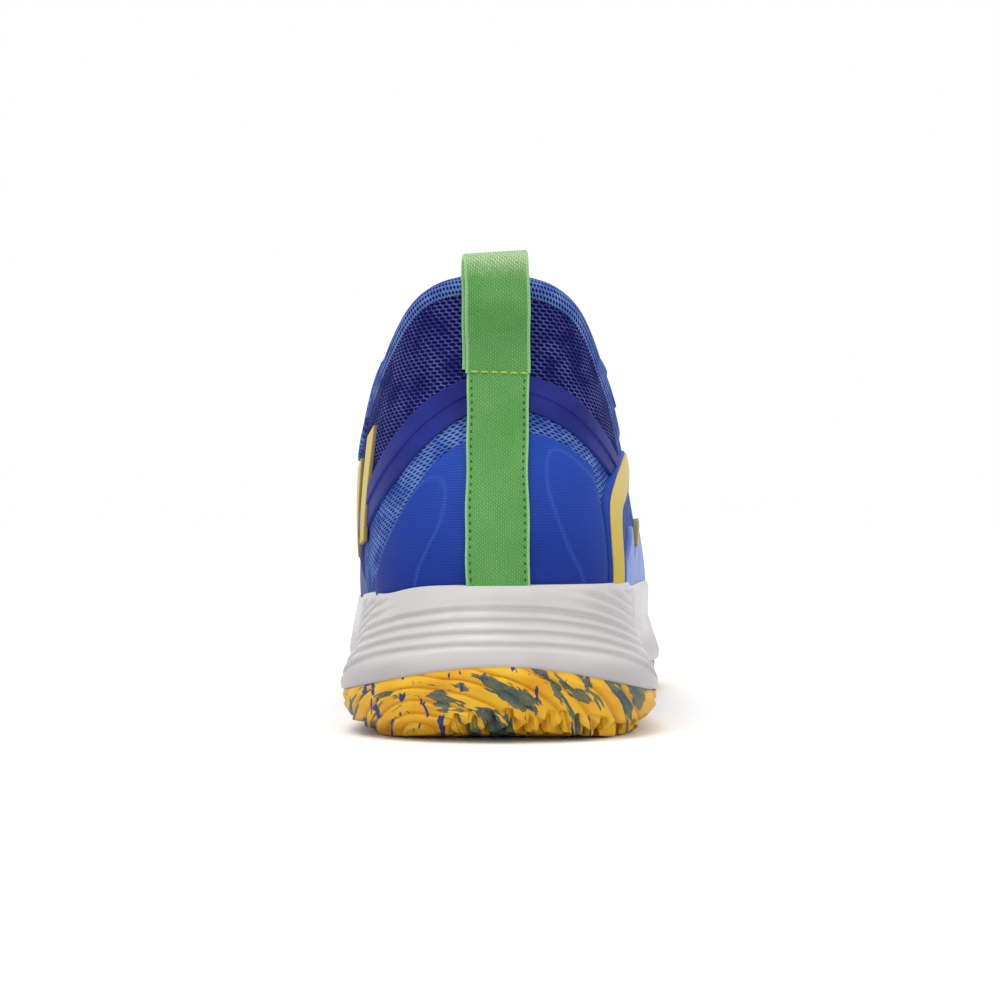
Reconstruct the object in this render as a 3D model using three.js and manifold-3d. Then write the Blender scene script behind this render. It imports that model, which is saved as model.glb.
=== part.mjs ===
// A court shoe for the right foot, size EU 42.5, in millimetres.
//
// The toe points along +Y, the outer (lateral) side of the foot is +X and +Z is up.
// The origin is on the floor, in the middle of the shoe's length and width.
// Most pieces are skins that follow one lasted surface, upper(u, v):
//   u runs round the foot, 0 at the heel, 0.25 outer side, 0.5 toe, 0.75 inner side;
//   v runs up the wall, 0 at the feather edge on the sole, 1 at the collar and throat edge.
// The pieces below the foot are plates, built from sections that start and end on a spine
// under the middle of the foot.

import * as THREE from "three";
import { mergeVertices } from "three/addons/utils/BufferGeometryUtils.js";
import Module from "manifold-3d";

const wasm = await Module();
wasm.setup();

// Driving dimensions.
const MIDDLE_X = 1.35; // the middle of the overall width, from the heel's centre line
const MIDDLE_S = 148.1; // the middle of the overall length, from the back of the heel
const AROUND = 48; // steps round the shoe
const GAP = 0.4; // clearance between two pieces that touch on the real shoe
const SEAM = 0.0006; // the same clearance as a part of the way round

const SHELL = 1.2; // thickness of the knitted upper
const OVERLAY = 0.9; // thickness of a bonded film overlay
const STIFFENER = 1.2;
const LINING = 0.9;
const LINING_DEPTH = 1.7; // from the outer surface to the lining along the throat
const STIFFENED_DEPTH = 4.1; // and where a stiffener lies between them
const COLLAR_PAD = 4.2; // how much deeper the lining lies behind the collar's foam
const RIM_RISE = 3.6; // how far the rolled collar edge stands above the shell

const BOARD = 1.5; // lasting board
const FOOTBED = 4.6; // sockliner
const OUTSOLE = 5.2; // sole thickness under the foot
const ARCH_RISE = 5.0; // how much higher the midsole's underside is at the arch
const WEBBING_WIDTH = 15.1;
const WEBBING = 1.3;

// The last, station by station from the heel over the outer side to the toe and back over the
// inner side. x and s are measured from the heel's centre line and from the back of the heel.
// foot: the feather edge. edge: the collar and throat edge. handle: how the wall leaves the
// feather edge (up, out) and how it reaches the edge (up, out).
const STATIONS = [
  { foot: [0, 6.5, 27], edge: [-0.5, 13, 104.8], handle: [26, 12, 26, -9] },
  { foot: [20, 12.5, 27], edge: [13.2, 16.5, 102], handle: [25, 9, 25, -4] },
  { foot: [30, 34, 26.5], edge: [24, 31, 89.5], handle: [22, 5, 20, 1] },
  { foot: [32, 68, 25.5], edge: [30, 58, 73.5], handle: [18, 3.5, 14, 2] },
  { foot: [32.5, 105, 24], edge: [30.2, 88, 79.5], handle: [20, 5, 16, 3.5] },
  { foot: [36.5, 145, 21.5], edge: [26.5, 116, 98.5], handle: [22, 6, 18, 8] },
  { foot: [43, 187, 19], edge: [18.5, 150, 90.5], handle: [22, 4.5, 15, 16] },
  { foot: [42, 231, 19.5], edge: [13, 179, 79.5], handle: [21, 4, 12, 24] },
  { foot: [28, 266, 22.5], edge: [8.5, 197, 73], handle: [21, 5, 11, 31] },
  { foot: [-5, 289, 25], edge: [-1, 205, 70.2], handle: [20, 5, 11, 38] },
  { foot: [-30, 270, 22.5], edge: [-10.5, 197, 73], handle: [21, 5, 11, 31] },
  { foot: [-40, 238, 19.5], edge: [-15, 179, 79.5], handle: [21, 4, 12, 24] },
  { foot: [-41, 200, 19], edge: [-20.5, 150, 90.5], handle: [22, 4, 15, 17] },
  { foot: [-34.5, 158, 21.5], edge: [-30, 116, 99.5], handle: [22, 5, 18, 8] },
  { foot: [-29, 112, 24], edge: [-33.7, 88, 81], handle: [20, 7, 16, 5] },
  { foot: [-30.5, 70, 25.5], edge: [-33.5, 58, 74.5], handle: [18, 5, 14, 2.5] },
  { foot: [-30.5, 34, 26.5], edge: [-26.5, 31, 90.5], handle: [22, 5, 20, 2] },
  { foot: [-20, 12.5, 27], edge: [-14.4, 16.5, 102.5], handle: [25, 9, 25, -4] },
];

// The sole at the same stations: its widest outline, the height of the seam between the
// outsole and the midsole, and the height of the midsole's top edge.
const SOLE = [
  [0, 0, 17.5, 37],
  [24, 8, 15, 37],
  [38.5, 32, 10.6, 37],
  [40, 68, 10, 35.5],
  [39.5, 105, 11, 33.5],
  [43.5, 145, 11, 34.5],
  [49.5, 187, 10, 33.5],
  [48.5, 232, 11, 30],
  [32.5, 273, 16, 31],
  [-6, 298, 22, 33.5],
  [-35, 277, 16, 31],
  [-46, 240, 11, 29],
  [-47, 200, 10, 28.5],
  [-40, 158, 11, 30],
  [-35, 112, 12, 32],
  [-37, 70, 10, 33],
  [-39, 33, 10.8, 34],
  [-24.5, 8, 15, 36.5],
];

// A closed curve of evenly spaced stations, smooth in curvature, in any number of dimensions.
function ringThrough(rows) {
  const n = rows.length;
  const at = (k) => rows[((k % n) + n) % n];
  const controls = rows.map((row, k) =>
    row.map((value, d) => value - (at(k - 1)[d] + at(k + 1)[d] - 2 * value) / 6),
  );
  return (t) => {
    const x = (((t % 1) + 1) % 1) * n;
    const k = Math.floor(x);
    const f = x - k;
    const weights = [
      (1 - f) ** 3 / 6,
      (3 * f ** 3 - 6 * f ** 2 + 4) / 6,
      (-3 * f ** 3 + 3 * f ** 2 + 3 * f + 1) / 6,
      f ** 3 / 6,
    ];
    return rows[0].map((_, d) =>
      weights.reduce((sum, w, i) => sum + w * controls[(k + i - 1 + n) % n][d], 0),
    );
  };
}

const footRing = ringThrough(STATIONS.map((station) => station.foot));
const edgeRing = ringThrough(STATIONS.map((station) => station.edge));
const handleRing = ringThrough(STATIONS.map((station) => station.handle));
const soleRing = ringThrough(SOLE);

const smooth = (from, to, x) => THREE.MathUtils.smoothstep(x, from, to);
const mix = THREE.MathUtils.lerp;
const between = (a, b, count) =>
  Array.from({ length: count + 1 }, (_, i) => mix(a, b, i / count));

// A point given from the heel (x across, s along, z up) in the shoe's own frame.
const place = (x, s, z) => new THREE.Vector3(x - MIDDLE_X, s - MIDDLE_S, z);

// The horizontal direction out of a ring at t.
function outward(ring, t) {
  const [ax, ay] = ring(t - 0.004);
  const [bx, by] = ring(t + 0.004);
  return new THREE.Vector2(by - ay, ax - bx).normalize();
}

// The lasted surface.
function upper(u, v) {
  const foot = footRing(u);
  const edge = edgeRing(u);
  const [riseUp, riseOut, reachUp, reachOut] = handleRing(u);
  const out = outward(footRing, u);
  return new THREE.CubicBezierCurve3(
    place(...foot),
    place(foot[0] + out.x * riseOut, foot[1] + out.y * riseOut, foot[2] + riseUp),
    place(edge[0] + out.x * reachOut, edge[1] + out.y * reachOut, edge[2] - reachUp),
    place(...edge),
  ).getPoint(v);
}

function upperNormal(u, v) {
  const step = 0.004;
  const low = Math.max(v - step, 0);
  const high = Math.min(v + step, 1);
  const across = upper(u + step, v).sub(upper(u - step, v));
  const up = upper(u, high).sub(upper(u, low));
  return across.cross(up).normalize();
}

const offUpper = (u, v, distance) =>
  upper(u, v).addScaledVector(upperNormal(u, v), distance);

// The v at which the wall is at height z.
function levelOf(u, z) {
  let [low, high] = [0, 1];
  for (let i = 0; i < 24; i++) {
    const middle = (low + high) / 2;
    if (upper(u, middle).z < z) low = middle;
    else high = middle;
  }
  return low;
}

const valueOf = (quantity, ...at) =>
  typeof quantity === "function" ? quantity(...at) : quantity;

// Turns the faces round if they point inwards.
function facingOut(geometry) {
  const p = geometry.getAttribute("position");
  const index = geometry.index.array;
  const corner = (i) => new THREE.Vector3().fromBufferAttribute(p, index[i]);
  let volume = 0;
  for (let i = 0; i < index.length; i += 3) {
    volume += corner(i).dot(corner(i + 1).cross(corner(i + 2)));
  }
  if (volume < 0) {
    for (let i = 0; i < index.length; i += 3) {
      [index[i], index[i + 1]] = [index[i + 1], index[i]];
    }
  }
  return geometry;
}

// A closed geometry from a list of points and a list of four-cornered faces.
function geometryFrom(points, quads) {
  const index = quads.flatMap(([a, b, c, d]) => [a, b, c, a, c, d]);
  const geometry = new THREE.BufferGeometry().setFromPoints(points);
  geometry.setIndex(index);
  return facingOut(mergeVertices(geometry, 1e-3));
}

// A slab between two grids of points, outer[i][j] and inner[i][j]. If closed, the last row
// joins the first.
function slab(outer, inner, closed) {
  const rows = outer.length;
  const columns = outer[0].length;
  const points = [...outer.flat(), ...inner.flat()];
  const out = (i, j) => (i % rows) * columns + j;
  const into = (i, j) => rows * columns + out(i, j);
  const quads = [];
  const last = closed ? rows : rows - 1;
  for (let i = 0; i < last; i++) {
    for (let j = 0; j < columns - 1; j++) {
      quads.push([out(i, j), out(i + 1, j), out(i + 1, j + 1), out(i, j + 1)]);
      quads.push([into(i, j), into(i, j + 1), into(i + 1, j + 1), into(i + 1, j)]);
    }
    const top = columns - 1;
    quads.push([into(i, 0), into(i + 1, 0), out(i + 1, 0), out(i, 0)]);
    quads.push([out(i, top), out(i + 1, top), into(i + 1, top), into(i, top)]);
  }
  if (!closed) {
    const end = rows - 1;
    for (let j = 0; j < columns - 1; j++) {
      quads.push([out(0, j), out(0, j + 1), into(0, j + 1), into(0, j)]);
      quads.push([into(end, j), into(end, j + 1), out(end, j + 1), out(end, j)]);
    }
  }
  return geometryFrom(points, quads);
}

// The steps round the shoe from one u to another, on the same lattice for every skin, with
// extra steps where an outline turns a corner.
function stepsRound(from, to, corners = []) {
  const fixed = [from, ...corners, to];
  const steps = [];
  for (let k = Math.ceil(from * AROUND); k < to * AROUND; k++) {
    const u = k / AROUND;
    if (fixed.every((corner) => Math.abs(u - corner) > 0.003)) steps.push(u);
  }
  return [...steps, ...fixed].sort((p, q) => p - q);
}

// A skin over part of the upper, between the offsets under and over, from u to u and between
// the heights low(u) and high(u).
function skin({ from, to, low = 0, high = 1, under, over, rows = 6, corners = [] }) {
  const closed = to - from === 1;
  const us = stepsRound(from, to, corners);
  if (closed) us.pop();
  const grid = (offset) =>
    us.map((u) =>
      between(valueOf(low, u), valueOf(high, u), rows).map((v) =>
        offUpper(u, v, valueOf(offset, u, v)),
      ),
    );
  return slab(grid(over), grid(under), closed);
}

// A strip over the upper between two curves drawn in (u, v).
function strip({ left, right, under, over, along = 10, across = 2 }) {
  const curve = (list) => new THREE.SplineCurve(list.map(([u, v]) => new THREE.Vector2(u, v)));
  const [a, b] = [curve(left), curve(right)];
  const grid = (offset) =>
    between(0, 1, along).map((t) => {
      const [p, q] = [a.getPoint(t), b.getPoint(t)];
      return between(0, 1, across).map((f) =>
        offUpper(mix(p.x, q.x, f), mix(p.y, q.y, f), offset),
      );
    });
  return slab(grid(over), grid(under), false);
}

// A solid swept through a list of closed sections, with flat ends.
function sweep(sections) {
  const sides = sections[0].length;
  const last = sections.length - 1;
  const at = (i, j) => i * sides + (j % sides);
  const index = [];
  for (let i = 0; i < last; i++) {
    for (let j = 0; j < sides; j++) {
      const [a, b, c, d] = [at(i, j), at(i, j + 1), at(i + 1, j + 1), at(i + 1, j)];
      index.push(a, b, c, a, c, d);
    }
  }
  for (let j = 1; j < sides - 1; j++) {
    index.push(at(0, 0), at(0, j + 1), at(0, j));
    index.push(at(last, 0), at(last, j), at(last, j + 1));
  }
  const geometry = new THREE.BufferGeometry().setFromPoints(sections.flat());
  geometry.setIndex(index);
  return facingOut(geometry);
}

// The middle line under the foot, for the section at u.
function spine(u) {
  const [ax, as] = soleRing(u);
  const [bx, bs] = soleRing(1 - u);
  const s = 28 + ((as + bs) / 2) * 0.805;
  return [(ax + bx) / 2, s];
}

// A plate built from sections: each runs from the spine out to the rim and back.
function plate(section) {
  const rings = between(0, 1, AROUND).slice(0, -1).map(section);
  const columns = rings[0].length;
  const at = (i, j) => (i % AROUND) * columns + j;
  const quads = [];
  for (let i = 0; i < AROUND; i++) {
    for (let j = 0; j < columns - 1; j++) {
      quads.push([at(i, j), at(i + 1, j), at(i + 1, j + 1), at(i, j + 1)]);
    }
  }
  return geometryFrom(rings.flat(), quads);
}

// Solids for cutting and joining.
function solidFrom(geometry) {
  const bare = geometry.index ? geometry.toNonIndexed() : geometry.clone();
  bare.deleteAttribute("normal");
  bare.deleteAttribute("uv");
  const merged = mergeVertices(bare, 1e-3);
  return new wasm.Manifold(
    new wasm.Mesh({
      numProp: 3,
      vertProperties: merged.getAttribute("position").array,
      triVerts: new Uint32Array(merged.index.array),
    }),
  );
}

function geometryOf(solid) {
  const mesh = solid.getMesh();
  const geometry = new THREE.BufferGeometry();
  const positions = new THREE.BufferAttribute(new Float32Array(mesh.vertProperties), 3);
  geometry.setAttribute("position", positions);
  geometry.setIndex(new THREE.BufferAttribute(new Uint32Array(mesh.triVerts), 1));
  return geometry;
}

const cut = (geometry, ...tools) =>
  geometryOf(tools.reduce((left, tool) => left.subtract(solidFrom(tool)), solidFrom(geometry)));
const keep = (geometry, tool) =>
  geometryOf(solidFrom(geometry).intersect(solidFrom(tool)));

function box(low, high) {
  const size = high.clone().sub(low);
  const middle = low.clone().add(high).multiplyScalar(0.5);
  return new THREE.BoxGeometry(size.x, size.y, size.z).translate(...middle);
}

// The sole's heights along the shoe.
const TOE_SPRING_FROM = 205;
const toeSpring = (s) => 0.0015 * Math.max(s - TOE_SPRING_FROM, 0) ** 2;
const heelBevel = (s) => 0.008 * Math.max(26 - s, 0) ** 2;
const archRise = (s) => ARCH_RISE * smooth(92, 110, s) * (1 - smooth(148, 168, s));
const groundAt = (s) => toeSpring(s) + heelBevel(s);
const undersideAt = (s) => OUTSOLE + toeSpring(s) + 0.6 * heelBevel(s) + archRise(s);

// Heights that are the same on both sides of the foot.
const featherAt = (u) => (footRing(u)[2] + footRing(1 - u)[2]) / 2;
const lipAt = (u) => (soleRing(u)[3] + soleRing(1 - u)[3]) / 2;

// A point of the sole's outline at u, moved in by inset, at height z.
function soleRim(u, inset, z) {
  const [x, s] = soleRing(u);
  const out = outward(soleRing, u);
  return [x - out.x * inset, s - out.y * inset, z];
}

function footRim(u, inset, z) {
  const [x, s] = footRing(u);
  const out = outward(footRing, u);
  return [x - out.x * inset, s - out.y * inset, z];
}

// The last's outer envelope grown by a clearance: what the midsole's cup is moulded round.
function envelope(clearance) {
  const levels = [...between(0, 0.4, 8), 0.55, 0.7, 0.85, 1];
  return plate((u) => {
    const z = featherAt(u) - clearance;
    const [x, s] = spine(u);
    const edges = [edgeRing(u), edgeRing(1 - u)];
    const wall = levels.map((v) => offUpper(u, v, clearance));
    return [
      place(x, s, z),
      place(...footRim(u, -clearance, z)),
      ...wall,
      place((edges[0][0] + edges[1][0]) / 2, (edges[0][1] + edges[1][1]) / 2, 120),
    ];
  });
}

// Midsole: a moulded foam cup with a flared side wall.
function midsoleBlank() {
  const wallThickness = 2.2;
  const bondLine = 12; // width of the flat bonding margin inside the seam
  return plate((u) => {
    const [, , seam, top] = soleRing(u);
    const v = levelOf(u, top);
    const inner = offUpper(u, v, 0.6);
    const lip = offUpper(u, v, wallThickness);
    const lipLow = lip.clone().setZ(top - 1.4);
    const widest = place(...soleRim(u, 0.3, seam + 2.5));
    const waist = lipLow.clone().lerp(widest, 0.45);
    const bond = soleRim(u, bondLine, 0);
    const [x, s] = spine(u);
    return [
      place(x, s, lipAt(u) + 1),
      inner,
      lip,
      lipLow,
      waist,
      widest,
      place(...soleRim(u, 0.6, seam)),
      place(bond[0], bond[1], undersideAt(bond[1])),
      place(x, s, undersideAt(s)),
    ];
  });
}

// Outsole: a rubber shell whose edge wraps up over the midsole.
function outsoleBlank() {
  const margin = 1; // taken off again by the midsole's underside
  return plate((u) => {
    const [, , seam] = soleRing(u);
    const bond = soleRim(u, 12, 0);
    const tread = soleRim(u, 12, 0);
    const shoulder = soleRim(u, 3.6, 0);
    const [x, s] = spine(u);
    return [
      place(x, s, undersideAt(s) + margin),
      place(bond[0], bond[1], undersideAt(bond[1]) + margin),
      place(...soleRim(u, 0.5, seam)),
      place(...soleRim(u, 0.5, seam - 2)),
      place(shoulder[0], shoulder[1], Math.max(seam * 0.34, groundAt(shoulder[1]) + 1.2)),
      place(tread[0], tread[1], groundAt(tread[1])),
      place(x, s, groundAt(s)),
    ];
  });
}

// What the pieces under the midsole are fitted against.
const loweredMidsole = () => midsoleBlank().translate(0, 0, -GAP);

// Flex grooves across the forefoot's tread.
function flexGrooves() {
  const depth = 2;
  const width = 3;
  return [178, 196, 214, 232].map((s) => {
    const z = groundAt(s);
    const groove = new THREE.BoxGeometry(120, width, 2 * depth);
    groove.rotateZ(THREE.MathUtils.degToRad(-9));
    return groove.translate(...place(0, s, z));
  });
}

const HEEL_PIECE_TO = 98; // the heel outsole ends here, from the back of the heel
const FOREFOOT_PIECE_FROM = 162;

const halfSpace = (from, to) => box(place(-80, from, -20), place(80, to, 60));

const heelOutsole = () =>
  cut(keep(outsoleBlank(), halfSpace(-20, HEEL_PIECE_TO)), loweredMidsole());

const forefootOutsole = () =>
  cut(
    keep(outsoleBlank(), halfSpace(FOREFOOT_PIECE_FROM, 320)),
    loweredMidsole(),
    ...flexGrooves(),
  );

// Torsion plate: a thin arched plate under the midfoot, between the outsole pieces.
function torsionPlate() {
  const thickness = 2;
  const halfWidth = (s) => mix(24, 17, Math.sin(((s - 100) / 60) * Math.PI));
  const grid = (rise) =>
    between(HEEL_PIECE_TO + 1.2, FOREFOOT_PIECE_FROM - 1.2, 10).map((s) =>
      between(-1, 1, 4).map((f) => place(1 + f * halfWidth(s), s, undersideAt(s) + rise)),
    );
  return cut(slab(grid(1), grid(-thickness), false), loweredMidsole());
}

// The lasting board closes the bottom of the upper.
function lastingBoard() {
  const inset = SHELL + 0.8;
  return plate((u) => {
    const z = featherAt(u);
    const [x, s] = spine(u);
    return [
      place(x, s, z + BOARD),
      place(...footRim(u, inset, z + BOARD)),
      place(...footRim(u, inset, z + 0.2)),
      place(x, s, z + 0.2),
    ];
  });
}

// Sockliner: foam footbed with a raised edge, and its fabric cover.
const SOCKLINER_INSET = 7.6;
function sockliner() {
  return plate((u) => {
    const z = featherAt(u) + BOARD + 0.6;
    const rise = 3 * (1 - smooth(110, 190, footRing(u)[1])); // the heel cup's wall
    const [x, s] = spine(u);
    return [
      place(x, s, z + FOOTBED),
      place(...footRim(u, SOCKLINER_INSET + 7, z + FOOTBED)),
      place(...footRim(u, SOCKLINER_INSET, z + FOOTBED + rise)),
      place(...footRim(u, SOCKLINER_INSET, z + 1)),
      place(...footRim(u, SOCKLINER_INSET + 2, z)),
      place(x, s, z),
    ];
  });
}

function socklinerCover() {
  const cover = 0.7;
  return plate((u) => {
    const z = featherAt(u) + BOARD + 0.6 + FOOTBED + 0.5;
    const rise = 3 * (1 - smooth(110, 190, footRing(u)[1]));
    const [x, s] = spine(u);
    return [
      place(x, s, z + cover),
      place(...footRim(u, SOCKLINER_INSET + 7, z + cover)),
      place(...footRim(u, SOCKLINER_INSET + 0.4, z + cover + rise)),
      place(...footRim(u, SOCKLINER_INSET + 0.4, z + rise)),
      place(...footRim(u, SOCKLINER_INSET + 7, z)),
      place(x, s, z),
    ];
  });
}

// Cushioning inserts sit in pockets that are open at the midsole's footbed.
function insert({ x, s, radiusX, radiusS, from, to, clearance = 0 }) {
  return new THREE.CylinderGeometry(1, 1, to - from + 2 * clearance, 24)
    .rotateX(Math.PI / 2)
    .scale(radiusX + clearance, radiusS + clearance, 1)
    .translate(...place(x, s, (from + to) / 2));
}

const HEEL_INSERT = { x: 0.5, s: 46, radiusX: 21, radiusS: 27, from: 15, to: 24.4 };
const FOREFOOT_INSERT = { x: 0.5, s: 203, radiusX: 30, radiusS: 25, from: 12.2, to: 17.6 };

function pocket(insertSize) {
  return insert({ ...insertSize, to: insertSize.to + 6, clearance: GAP });
}

function midsole() {
  return cut(midsoleBlank(), envelope(GAP), pocket(HEEL_INSERT), pocket(FOREFOOT_INSERT));
}

// The arc that sweeps over the heel, from the outer stripe to the inner side of the midsole:
// its lower and upper edges, as points (u, v).
const ARC_LOW = [
  [-0.2, 0.12],
  [-0.15, 0.2],
  [-0.102, 0.36],
  [-0.086, 0.42],
  [-0.056, 0.56],
  [-0.024, 0.64],
  [0.028, 0.65],
  [0.062, 0.612],
  [0.092, 0.536],
  [0.13, 0.44],
];
const ARC_HIGH = [
  [-0.2, 0.26],
  [-0.15, 0.36],
  [-0.108, 0.512],
  [-0.092, 0.6],
  [-0.064, 0.7],
  [-0.028, 0.748],
  [0.03, 0.758],
  [0.07, 0.745],
  [0.106, 0.668],
  [0.13, 0.61],
];

// The height of an outline at u, straight between its points.
function levelOn(outline, u) {
  const next = Math.max(1, outline.findIndex(([x]) => x >= u));
  const [[ax, ay], [bx, by]] = outline.slice(next - 1, next + 1);
  return mix(ay, by, (u - ax) / (bx - ax));
}

const arcLevel = (u) => (levelOn(ARC_LOW, u) + levelOn(ARC_HIGH, u)) / 2;

// The rear collar panel of open mesh: the part of the shell above the middle of the arc.
const COLLAR_FROM = -0.158;
const COLLAR_TO = 0.128;
const shell = { under: -SHELL, over: 0 };

const collarPanel = () =>
  skin({ from: COLLAR_FROM, to: COLLAR_TO, low: arcLevel, high: 1, ...shell, rows: 4 });

// The top edge of the quarters: they stop below the collar panel and rise at its ends.
const quarterTop = (u) => {
  const inside = u > COLLAR_FROM - SEAM && u < COLLAR_TO + SEAM;
  return inside ? arcLevel(u) - GAP / 75 : 1;
};

// Depth of the lining's outer face below the lasted surface.
function liningDepth(u, v) {
  const rear = 1 - smooth(0.19, 0.27, Math.abs(u > 0.5 ? u - 1 : u));
  const low = 1 - (1 - rear) * smooth(0.5, 0.75, v);
  return mix(LINING_DEPTH, STIFFENED_DEPTH, low) + COLLAR_PAD * rear * smooth(0.42, 0.66, v);
}

// Eyelets: six holes on each side of the throat.
const EYELETS = between(0.287, 0.427, 5);
const EYELET_LEVEL = 0.9;
const EYELET_RADIUS = 2.3;

function eyeletTool(u) {
  const tool = new THREE.CylinderGeometry(EYELET_RADIUS, EYELET_RADIUS, 20, 10);
  const turn = new THREE.Quaternion().setFromUnitVectors(
    new THREE.Vector3(0, 1, 0),
    upperNormal(u, EYELET_LEVEL),
  );
  return tool.applyQuaternion(turn).translate(...upper(u, EYELET_LEVEL));
}

const outerEyelets = EYELETS.map(eyeletTool);
const innerEyelets = EYELETS.map((u) => eyeletTool(1 - u));

// Shell pieces of the knitted upper.
const VAMP_FROM = 0.3;

function quarter(from, to, end, eyelet) {
  const side = Math.sign(end);
  const corners = [end + side * SEAM, end + side * 2 * SEAM].map((u) => u - side * 1e-6);
  return cut(skin({ from, to, high: quarterTop, corners, ...shell, rows: 6 }), eyelet);
}

const outerQuarter = () => quarter(SEAM, VAMP_FROM - SEAM, COLLAR_TO, outerEyelets[0]);
const innerQuarter = () => quarter(-VAMP_FROM + SEAM, -SEAM, COLLAR_FROM, innerEyelets[0]);

function vamp() {
  const piece = skin({ from: VAMP_FROM, to: 1 - VAMP_FROM, ...shell, rows: 6 });
  return cut(piece, ...outerEyelets.slice(1), ...innerEyelets.slice(1));
}

function lining() {
  const piece = skin({
    from: 0,
    to: 1,
    low: 0.09,
    high: 0.985,
    under: (u, v) => -liningDepth(u, v) - LINING,
    over: (u, v) => -liningDepth(u, v),
    rows: 6,
  });
  return cut(piece, ...outerEyelets, ...innerEyelets);
}

function collarFoam() {
  return skin({
    from: -0.245,
    to: 0.245,
    low: 0.45,
    high: 0.98,
    under: (u, v) => -liningDepth(u, v) + 1.3,
    over: -SHELL - 0.5,
    rows: 6,
  });
}

const heelCounter = () =>
  skin({
    from: -0.17,
    to: 0.17,
    low: 0.06,
    high: 0.41,
    under: -SHELL - 0.8 - STIFFENER,
    over: -SHELL - 0.8,
    rows: 4,
  });

const toePuff = () =>
  skin({
    from: 0.415,
    to: 0.585,
    low: 0.1,
    high: (u) => 0.2 + 0.24 * Math.sin(((u - 0.415) / 0.17) * Math.PI),
    under: -SHELL - 1.1 - STIFFENER,
    over: -SHELL - 1.1,
    rows: 5,
  });

// The rolled edge of the collar, over the top of the shell, the foam and the lining.
function collarRim() {
  const turns = between(0, 1, 6);
  const section = (u) => {
    const top = upper(u, 1);
    const out = upperNormal(u, 0.99);
    const up = top.clone().sub(upper(u, 0.98)).normalize();
    const inner = -liningDepth(u, 1) - LINING - 0.6;
    const outer = 0.8;
    const middle = (inner + outer) / 2;
    const half = (outer - inner) / 2;
    return turns.map((f) =>
      top
        .clone()
        .addScaledVector(out, middle + half * Math.cos(f * Math.PI))
        .addScaledVector(up, 0.7 + RIM_RISE * Math.sin(f * Math.PI)),
    );
  };
  return sweep(stepsRound(-0.255, 0.255).map(section));
}

// Film overlays bonded on the outside of the shell, above the midsole's lip.
const overlay = { under: 0.5, over: 0.5 + OVERLAY };
const lipLevel = (u) => levelOf(u, soleRing(u)[3] + 0.7);

const toeCap = () =>
  skin({
    from: 0.41,
    to: 0.59,
    low: lipLevel,
    high: (u) => lipLevel(u) + 0.05 + 0.22 * Math.sin(((u - 0.41) / 0.18) * Math.PI),
    ...overlay,
    rows: 3,
  });

const forefootOverlay = (from, to, height) =>
  skin({
    from,
    to,
    low: lipLevel,
    high: (u) => lipLevel(u) + 0.05 + height * Math.sin(((u - from) / (to - from)) * Math.PI) ** 0.7,
    ...overlay,
    rows: 3,
  });

const eyestay = (from, to) =>
  skin({ from, to, low: 0.79, high: 0.985, ...overlay, rows: 2 });

const outerEyestay = () => cut(eyestay(0.272, 0.452), ...outerEyelets);
const innerEyestay = () => cut(eyestay(1 - 0.452, 1 - 0.272), ...innerEyelets);

// The heel's counter overlay: smooth film from below the arc down to the midsole.
const COUNTER_TOP = [
  [-0.092, 0.06],
  [-0.082, 0.18],
  [-0.066, 0.324],
  [-0.054, 0.43],
  [-0.04, 0.515],
  [-0.02, 0.56],
  [0.03, 0.58],
  [0.05, 0.562],
  [0.071, 0.51],
];
const counterOverlay = () =>
  skin({
    from: -0.084,
    to: 0.069,
    low: lipLevel,
    high: (u) => levelOn(COUNTER_TOP, u),
    ...overlay,
    rows: 4,
  });

// Two moulded bands side by side make the arc.
const BAND_GAP = 0.006;
function arcBand(outer) {
  const high = outer ? (u) => levelOn(ARC_HIGH, u) : (u) => arcLevel(u) - BAND_GAP / 2;
  const low = outer ? (u) => arcLevel(u) + BAND_GAP / 2 : (u) => levelOn(ARC_LOW, u);
  return skin({ from: -0.185, to: outer ? 0.105 : 0.09, low, high, ...overlay, rows: 1 });
}

// A plain stripe up the outer side, narrow at the midsole and swept forwards at the top.
const outerStripe = () =>
  strip({
    left: [
      [0.15, 0.8],
      [0.12, 0.63],
      [0.096, 0.5],
      [0.081, 0.4],
      [0.0755, 0.28],
      [0.0755, 0.15],
    ],
    right: [
      [0.165, 0.78],
      [0.136, 0.6],
      [0.112, 0.47],
      [0.097, 0.39],
      [0.0905, 0.28],
      [0.0905, 0.15],
    ],
    ...overlay,
  });

// Two plain slanted bars on the inner side, over the arc.
const onArc = { under: overlay.over + 0.4, over: overlay.over + 0.4 + 0.6 };
const innerBar = (foot, low, high) =>
  strip({
    left: [
      [foot - 0.014, high],
      [foot - 0.004, low],
    ],
    right: [
      [foot - 0.002, high],
      [foot + 0.008, low],
    ],
    ...onArc,
    along: 4,
    across: 1,
  });

// Webbing: sewn down the back of the heel, with a folded loop above the stitch line.
const STITCH_LEVEL = 0.755;
const STRAP_OFFSET = 0.5 + OVERLAY + 0.5;

// The u at which the wall is at x on the back of the heel, at level v.
function acrossHeel(x, v) {
  let [low, high] = [-0.08, 0.08];
  for (let i = 0; i < 24; i++) {
    const middle = (low + high) / 2;
    if (upper(middle, v).x + MIDDLE_X < x) low = middle;
    else high = middle;
  }
  return low;
}

function heelStrap() {
  const levels = between(0.155, STITCH_LEVEL, 9);
  const half = WEBBING_WIDTH / 2;
  const grid = (offset) =>
    levels.map((level) =>
      between(-half, half, 4).map((x) => offUpper(acrossHeel(x, level), level, offset)),
    );
  return slab(grid(STRAP_OFFSET + WEBBING), grid(STRAP_OFFSET), false);
}

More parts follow.
